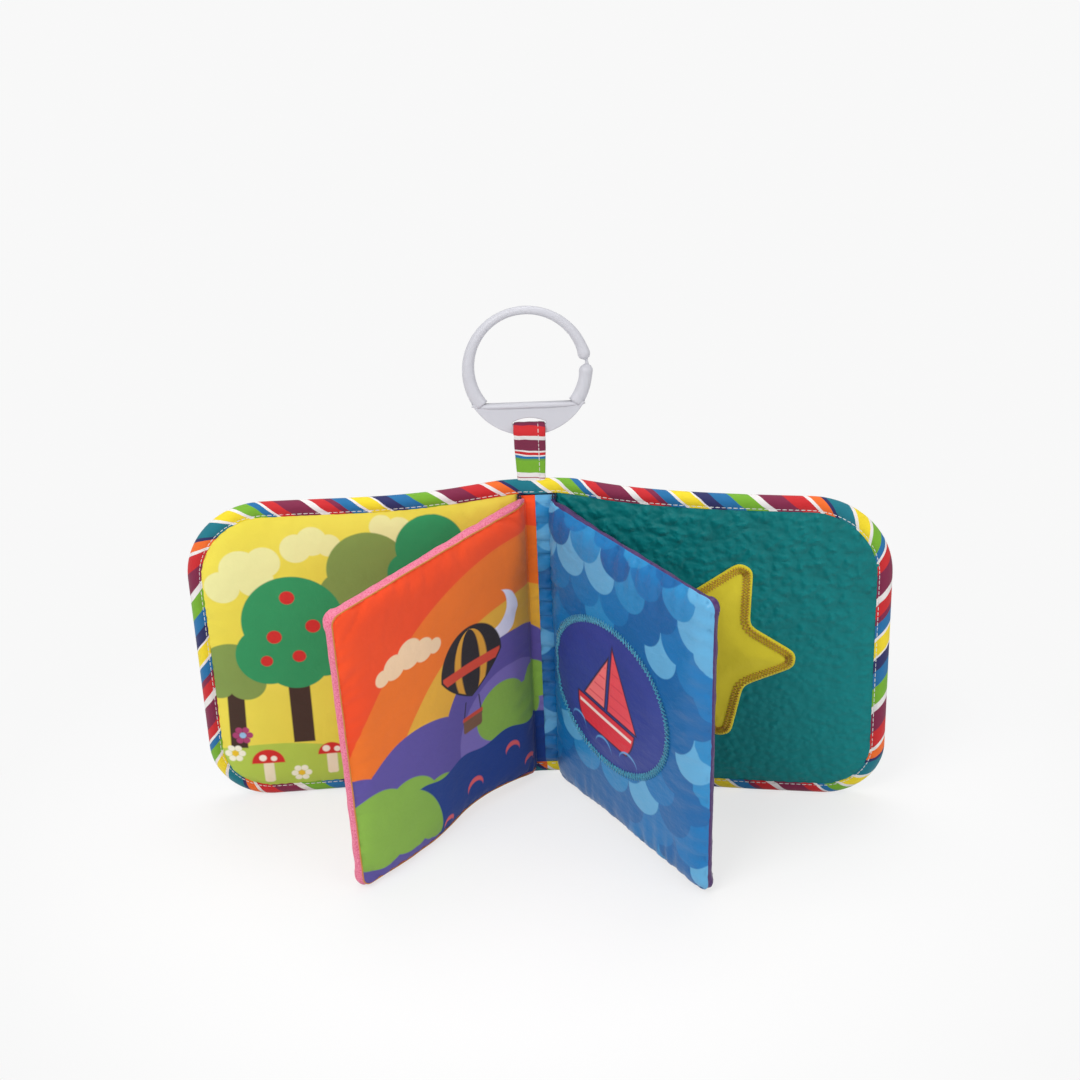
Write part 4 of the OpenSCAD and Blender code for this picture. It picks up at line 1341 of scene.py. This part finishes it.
def zigzag(line, inset, amplitude, half_period):
    """Corner points of a zigzag row inside a closed line."""
    path = even(line, half_period)
    if len(path) % 2:
        path = even(line, half_period * len(path) / (len(path) + 1.0))
    n = outline_normals(path)
    sign = np.where(np.arange(len(path)) % 2 == 0, 1.0, -1.0)[:, None]
    return path + n * (inset + sign * amplitude)


def star_line():
    """A plain star with blunt tips, sewn a little unevenly."""
    tips = [(63.0, 50.5), (134.5, 47.0), (-146.0, 46.0), (-74.0, 47.5), (-4.0, 46.0)]
    pts = []
    for i, (turn, r) in enumerate(tips):
        a = math.radians(turn)
        for s in (1, -1):
            pts.append((r * math.cos(a) + s * 3.6 * math.sin(a), r * math.sin(a) - s * 3.6 * math.cos(a)))
        following = tips[(i + 1) % 5][0]
        b = math.radians(turn + ((following - turn) % 360) / 2)
        pts.append((28.5 * math.cos(b), 28.5 * math.sin(b)))
    line = softened(np.array(pts), 2.4, 0.8)
    return line + np.array([STAR_U, STAR_H])


star = star_line()
star_cloth = cotton("star_yellow", lambda k, p: k.mix(k.noise(p, 0.05, 2.0), linear((212, 196, 40)),
                                                      linear((226, 210, 54))), 0.4)


def star_lift(d, q):
    ridge = -0.12 * np.exp(-((d - 2.6) / 1.4) ** 2)
    z = 0.45 + 0.25 * smooth(d / 1.0) + ridge + 1.3 * smooth((d - 4.5) / 9.0)
    return z + 0.2 * cloudy(q[:, 0], q[:, 1], 12.0, 3)


star_height = make_patch("star_patch_soft", star, right_pad, RIGHT_COVER, "back_cover", star_cloth, star_lift,
                         ["star_patch"])


def thread_rows(name, line, rows, height, place, body, radius, material, node):
    paths = []
    for inset, amplitude, half in rows:
        q = zigzag(line, inset, amplitude, half)
        z = height(q) + radius * 0.9
        paths.append(place.world(np.column_stack([q, z])))
    dress(tube(name, paths, radius, material, closed=True), body, [node])


thread_rows("star_zigzag", star, [(1.6, 0.8, 0.75), (3.5, 0.8, 0.75)], star_height, RIGHT_COVER, "back_cover",
            0.30, gold_thread, "star_edging")

def oval_line():
    a = np.linspace(0, 2 * math.pi, 160, endpoint=False)
    return np.stack([OVAL_U + OVAL_R * OVAL_WIDE * np.cos(a), OVAL_H + OVAL_R * np.sin(a)], 1)


oval = oval_line()


def boat_print(k, p):
    """A small sailing boat in coral on royal blue."""
    base = k.mix(k.noise(p, 0.04, 2.0), linear((40, 56, 132)), linear((50, 66, 150)))
    q = k.vec("SUBTRACT", p, (OVAL_U, OVAL_H, 0.0))
    n = k.add("ShaderNodeVectorRotate", rotation_type="Z_AXIS")
    k.put(n.inputs["Vector"], q)
    n.inputs["Angle"].default_value = math.radians(6)
    q = n.outputs[0]
    hull = k.both(k.blob(q, [(0.0, -8.8, 21.0)]), k.bar(q, 0.0, -15.4, 60.0, 13.0))
    c = k.paint(base, (36, 30, 52), k.minus(hull, 0.8))
    c = k.paint(c, (216, 48, 62), hull)
    c = k.paint(c, (240, 222, 214), k.both(k.plus(hull, 1.0), k.bar(q, 0.0, -12.4, 60.0, 1.6)))
    x, y, _ = k.split(q)
    low = k.minus(-6.6, y)
    lee = k.scale(y, 0.53, k.scale(x, 0.85, -15.2))
    luff = k.scale(y, 0.49, k.scale(x, -0.87, -10.8))
    right = k.both(low, k.both(k.minus(1.4, x), lee))
    left = k.both(low, k.both(k.plus(x, 1.4), luff))
    sails = k.math("MINIMUM", right, left)
    c = k.paint(c, (36, 30, 52), k.minus(sails, 0.8))
    c = k.paint(c, (226, 78, 88), right)
    c = k.paint(c, (238, 116, 118), left)
    seam = k.minus(k.math("ABSOLUTE", k.minus(k.math("FLOORED_MODULO", y, 6.0), 3.0)), 0.3)
    c = k.paint(c, (206, 60, 76), k.both(seam, k.plus(sails, 1.0)))
    for x0, y0 in ((-20.0, -26.0), (0.0, -28.5), (18.0, -26.0)):
        arc = k.less(k.blob(q, [(x0, y0, 6.0)]), k.blob(q, [(x0, y0 - 1.6, 6.4)]))
        c = k.paint(c, (96, 160, 214), arc)
    return c


patch_cloth = satin("patch_satin", boat_print, 0.5)


def oval_lift(d, q):
    seam = -0.3 * np.exp(-((d - 1.6) / 1.2) ** 2)
    return 0.25 + 0.2 * smooth(d / 0.8) + seam + 0.9 * smooth((d - 2.5) / 9.0)


oval_height = make_patch("oval_patch_soft", oval, right_leaf_pad, RIGHT_LEAF, "right_leaf", patch_cloth,
                         oval_lift, ["oval_patch", "boat_hull", "boat_sails"])
thread_rows("oval_zigzag", oval, [(0.0, 1.5, 0.9), (0.7, 1.1, 1.1)], oval_height, RIGHT_LEAF, "right_leaf",
            0.30, turquoise_thread, "oval_edging")


# Strap loop: up from the spine, through the ring's slot and down again
STRAP_BAR_R = math.hypot(4.4, RIM_H) / 2 + 1.0
STRAP_LOW = COVER_H - 2.5
STRAP_NECK = AXIS_Z - 9.5
STRAP_GAP = 0.75
STRAP_STRIPES = [
    (4.6, OFF_WHITE), (0.6, (150, 40, 54)), (2.2, OFF_WHITE), (6.4, TAPE_GREEN), (0.8, (96, 150, 60)),
    (1.3, TAPE_BLUE), (0.7, OFF_WHITE), (1.3, RED), (0.8, OFF_WHITE), (6.8, PLUM), (2.2, OFF_WHITE),
    (4.6, RED), (3.0, PLUM), (6.0, OFF_WHITE), (7.0, TAPE_TEAL), (2.0, OFF_WHITE), (8.0, PLUM),
]


def strap_line():
    """Length along the strap, its points in the side view and its outward direction."""
    path = [(-STRAP_GAP, z) for z in np.linspace(STRAP_LOW, STRAP_NECK, 14)]
    for a in np.linspace(math.radians(200), math.radians(-20), 22):
        path.append((STRAP_BAR_R * math.cos(a), AXIS_Z + STRAP_BAR_R * math.sin(a)))
    path += [(STRAP_GAP, z) for z in np.linspace(STRAP_NECK, STRAP_LOW, 14)]
    p = np.array(path)
    s = np.concatenate([[0.0], np.cumsum(np.hypot(*np.diff(p, axis=0).T))])
    q = np.linspace(0, s[-1], 70)
    line = np.stack([np.interp(q, s, p[:, 0]), np.interp(q, s, p[:, 1])], 1)
    for _ in range(3):
        line[1:-1] = (line[:-2] + 2 * line[1:-1] + line[2:]) / 4
    t = np.gradient(line, axis=0)
    t = t / np.linalg.norm(t, axis=1, keepdims=True)
    return q, line, np.stack([-t[:, 1], t[:, 0]], 1)


def strap_cloth():
    k = Look("strap_stripes", rough=0.7, sheen=0.15, specular=0.3)
    p = k.plan()
    along, across, _ = k.split(p)
    waver = k.times(k.minus(k.noise(p, 0.10, 1.0), 0.5), 1.8)
    t = k.plus(k.scale(across, 0.10, along), waver)
    total = sum(w for w, _ in STRAP_STRIPES)
    colour = stripe_ramp(k, k.math("DIVIDE", t, total, clamp=True), STRAP_STRIPES, total)
    return tape_finish(k, colour, p, 0.3)


def make_strap(q, line, out):
    xs = np.linspace(-1, 1, 13)
    loop = [(x, 0.5) for x in xs] + [(1.03, 0.0)] + [(x, -0.5) for x in xs[::-1]] + [(-1.03, 0.0)]
    points = []
    uv = []
    for along, (y, z), (dy, dz) in zip(q, line, out):
        half = 6.1 + 0.8 * smooth((z - COVER_H) / 22.0) + 0.1 * noise1(np.array(along / 5.0), 4)
        for x, e in loop:
            off = e * (1.0 - 0.25 * abs(x) ** 6 + 0.12 * math.cos(x * 9.0)) * 1.1
            points.append((STRAP_X + x * half, y + dy * off, z + dz * off))
            uv.append((along, x * half))
    faces = rod_faces(len(line), len(loop))
    o = add_mesh("strap_loop", np.array(points) * MM, faces, [strap_cloth()], None, np.array(uv) / PLAN_UNIT)
    face_out(o)
    dress(o, "spine", ["strap", "strap_stripes_red", "strap_stripes_plum", "strap_stripes_green"])


def strap_stitches(q, line, out):
    """One row of stitches along the right edge of the strap."""
    ends = []
    for a in np.arange(3.0, q[-1] - 3.0, 2.6):
        lift = 0.62 * np.array([np.interp(a, q, out[:, 0]), np.interp(a, q, out[:, 1])])
        pair = []
        for b in (a, a + 1.9):
            y, z = lift + [np.interp(b, q, line[:, 0]), np.interp(b, q, line[:, 1])]
            pair.append(np.array([STRAP_X + 3.9, y, z]) * MM)
        ends.append(pair)
    dress(capsules("strap_stitches", ends, 0.18, white_thread, 5), "spine", None)


strap = strap_line()
make_strap(*strap)
strap_stitches(*strap)


# Ring: its points are x, y up and depth toward the reader, around the middle of the rim
RIM_MID = RING_R - RIM_H / 2
LIP_Y = 14.4 - RING_R


def ring_point(p):
    """Flat ring points as the ring leans in its strap, in metres."""
    p = np.asarray(p, float)
    lean = math.radians(RING_LEAN)
    y = p[:, 1] + RIM_MID
    z = p[:, 2]
    return np.stack([STRAP_X + p[:, 0], y * math.sin(lean) - z * math.cos(lean),
                     AXIS_Z + y * math.cos(lean) + z * math.sin(lean)], 1) * MM


def circle(n):
    """Cosine and sine at n even turns."""
    return [(math.cos(2 * math.pi * k / n), math.sin(2 * math.pi * k / n)) for k in range(n)]


def rim_bar(a0, a1, bulb0, bulb1):
    """Rows of a length of the rim, thinner toward the top, that may end in a round bulb."""
    rows = []
    for a in np.linspace(a0, a1, max(8, int(abs(a1 - a0) / 2.2))):
        g = math.radians(a)
        top = 0.5 + 0.5 * math.sin(g)
        radial = 3.5 - 1.6 * top ** 1.2
        axial = 2.75 - 0.35 * top
        near = min(abs(a - a0) if bulb0 else 99, abs(a - a1) if bulb1 else 99) * 0.455
        share = 1.0 + 0.10 * math.exp(-((near - 3.0) / 2.0) ** 2)
        if near < 2.6:
            share *= math.sqrt(max(0.02, 1 - (1 - near / 2.6) ** 2)) * 0.98
        row = []
        for c, s in circle(20):
            r = RING_R - radial + radial * share * c
            row.append((r * math.cos(g), r * math.sin(g), axial * share * s))
        rows.append(row)
    return rows


def rim_nub():
    """Rows of the small nub between the two ends of the rim."""
    g = math.radians(6.9)
    out = np.array([math.cos(g), math.sin(g), 0.0])
    along = np.array([-math.sin(g), math.cos(g), 0.0])
    depth = np.array([0.0, 0.0, 1.0])
    return [[out * (RING_R - 2.2) + along * t + r * (out * c + depth * s) for c, s in circle(10)]
            for t, r in ((-1.6, 0.9), (-0.5, 0.75), (0.5, 0.7), (1.6, 0.9))]


def plate_lip():
    """Rows of the flattened bar along the top of the plate, pointed at both ends."""
    half = math.sqrt(RING_R ** 2 - LIP_Y ** 2) + 0.4
    rows = []
    for x in np.linspace(-1, 1, 41):
        e = math.sqrt(max(0.01, 1 - abs(x) ** 4))
        rows.append([(x * half, LIP_Y - 0.9 + 1.25 * e * math.copysign(abs(c) ** 0.7, c),
                      3.1 * e * math.copysign(abs(s) ** 0.7, s)) for c, s in circle(16)])
    return rows


def ring_bars():
    foot = math.degrees(math.asin((LIP_Y + 0.6) / (RING_R - 3)))
    points = []
    faces = []
    for rows in (rim_bar(foot - 3, 5.2, False, True), rim_bar(8.6, 180 - foot + 3, True, False),
                 rim_nub(), plate_lip()):
        base = len(points)
        points += [p for row in rows for p in row]
        faces += [tuple(base + i for i in f) for f in rod_faces(len(rows), len(rows[0]))]
    return face_out(add_mesh("ring_bar_part", ring_point(points), faces, [ring_plastic]))


def ring_plate():
    """A half-moon plate with an arched slot."""
    bevel = 0.5
    half = 7.9
    tip = math.asin((LIP_Y - 0.4) / RING_R)
    outer = [((RING_R - bevel) * math.cos(a), (RING_R - bevel) * math.sin(a))
             for a in np.linspace(math.pi - tip, 2 * math.pi + tip, 60)]
    low = RIM_H - RING_R
    high = STRAP_BAR_R + 2.85 - RIM_MID
    xs = np.linspace(-half, half, 15)
    slot = [(x, low + 0.9 * (x / half) ** 2) for x in xs]
    slot += [(x, high - 2.0 * (x / half) ** 2) for x in xs[::-1]]
    lines = [np.pad(np.array(line), ((0, 0), (0, 1))) * MM for line in (outer, slot)]
    o = from_curve("ring_plate", lines, True, ring_plastic, dimensions="2D", fill_mode="BOTH",
                   extrude=(2.0 - bevel) * MM, bevel_depth=bevel * MM, bevel_resolution=3)
    co = np.zeros(len(o.data.vertices) * 3)
    o.data.vertices.foreach_get("co", co)
    o.data.vertices.foreach_set("co", ring_point(co.reshape(-1, 3) * 1000.0).ravel())
    o.data.update()
    face_out(o)
    for q in o.data.polygons:
        q.use_smooth = len(q.vertices) > 3 or q.area < 2e-7
    return o


for piece in (ring_bars(), ring_plate()):
    dress(piece, "ring", ["link_ring"])


# Floor, lamps and camera
def make_floor():
    k = Look("floor_paper", rough=0.9, specular=0.1)
    k.put(k.bsdf.inputs["Base Color"], (0.80, 0.80, 0.80, 1.0))
    lp = k.add("ShaderNodeLightPath")
    bounced = k.both(lp.outputs["Is Glossy Ray"], lp.outputs["Is Transmission Ray"])
    seen = k.both(lp.outputs["Is Camera Ray"], bounced)
    glow = k.add("ShaderNodeEmission")
    glow.inputs["Color"].default_value = PAPER
    glow.inputs["Strength"].default_value = 1.0
    shaded = k.add("ShaderNodeBsdfDiffuse")
    shaded.inputs["Color"].default_value = PAPER
    part = k.add("ShaderNodeMixShader")
    far = k.vec("LENGTH", k.vec("SUBTRACT", k.space(), (0.0, -40.0, 0.0)))
    k.put(part.inputs[0], k.times(k.scale(far, -0.008, 2.2, clamp=True), 0.30))
    k.tree.links.new(glow.outputs[0], part.inputs[1])
    k.tree.links.new(shaded.outputs[0], part.inputs[2])
    pick = k.add("ShaderNodeMixShader")
    k.put(pick.inputs[0], seen)
    k.tree.links.new(k.bsdf.outputs[0], pick.inputs[1])
    k.tree.links.new(part.outputs[0], pick.inputs[2])
    out = [n for n in k.tree.nodes if n.type == "OUTPUT_MATERIAL"][0]
    k.tree.links.new(pick.outputs[0], out.inputs["Surface"])
    s = 4.0
    corners = [(-s, -s, 0), (s, -s, 0), (s, s, 0), (-s, s, 0)]
    add_mesh("floor", corners, [(0, 1, 2, 3)], [k.mat], flat=True)


make_floor()

def make_world():
    """Even white light, with the paper's tone where the camera looks past the floor."""
    world = bpy.data.worlds.new("studio")
    bpy.context.scene.world = world
    world.use_nodes = True
    tree = world.node_tree
    tree.nodes.clear()
    tones = []
    for rgb, strength in (((1, 1, 1, 1), 0.55), (PAPER, 1.0)):
        n = tree.nodes.new("ShaderNodeBackground")
        n.inputs["Color"].default_value = rgb
        n.inputs["Strength"].default_value = strength
        tones.append(n)
    seen = tree.nodes.new("ShaderNodeLightPath")
    mix = tree.nodes.new("ShaderNodeMixShader")
    out = tree.nodes.new("ShaderNodeOutputWorld")
    tree.links.new(seen.outputs["Is Camera Ray"], mix.inputs[0])
    tree.links.new(tones[0].outputs[0], mix.inputs[1])
    tree.links.new(tones[1].outputs[0], mix.inputs[2])
    tree.links.new(mix.outputs[0], out.inputs[0])


make_world()


def lamp(name, at, to, size, power):
    data = bpy.data.lights.new(name, "AREA")
    data.shape = "RECTANGLE"
    data.size, data.size_y = size
    data.energy = power
    o = link_new(name, data)
    o.location = at
    o.rotation_euler = (Vector(to) - Vector(at)).to_track_quat("-Z", "Y").to_euler()


lamp("key", (-0.55, -0.75, 1.05), (0, 0, 0.08), (0.7, 0.7), 9.0)
lamp("fill", (0.95, -0.75, 0.65), (0, 0, 0.08), (0.8, 0.8), 3.5)
lamp("top", (0.05, 0.35, 1.15), (0, 0, 0.08), (0.9, 0.5), 4.0)

FOCAL_PX = 2095.0
PHOTO_PX = 1080.0
SENSOR = 36.0
CAMERA_AT = (0.0091, -0.854, 0.5756)
CAMERA_TURN = 0.56
CAMERA_DOWN = 27.72
CAMERA_ROLL = -2.33


def make_camera():
    data = bpy.data.cameras.new("camera")
    data.sensor_fit = "HORIZONTAL"
    data.sensor_width = SENSOR
    data.lens = FOCAL_PX / PHOTO_PX * SENSOR
    data.clip_start = 0.01
    cam = bpy.data.objects.new("camera", data)
    yaw, pitch, roll = math.radians(CAMERA_TURN), math.radians(CAMERA_DOWN), math.radians(CAMERA_ROLL)
    right = Vector((math.cos(yaw), math.sin(yaw), 0))
    ahead = Vector((-math.sin(yaw), math.cos(yaw), 0))
    up = Vector((0, 0, 1))
    forward = ahead * math.cos(pitch) - up * math.sin(pitch)
    upward = ahead * math.sin(pitch) + up * math.cos(pitch)
    across = right * math.cos(roll) + upward * math.sin(roll)
    upright = upward * math.cos(roll) - right * math.sin(roll)
    m = Matrix((across, upright, -forward)).transposed().to_4x4()
    m.translation = Vector(CAMERA_AT)
    cam.matrix_world = m
    bpy.context.scene.collection.objects.link(cam)
    bpy.context.scene.camera = cam


make_camera()
bpy.context.scene.view_settings.view_transform = "Standard"
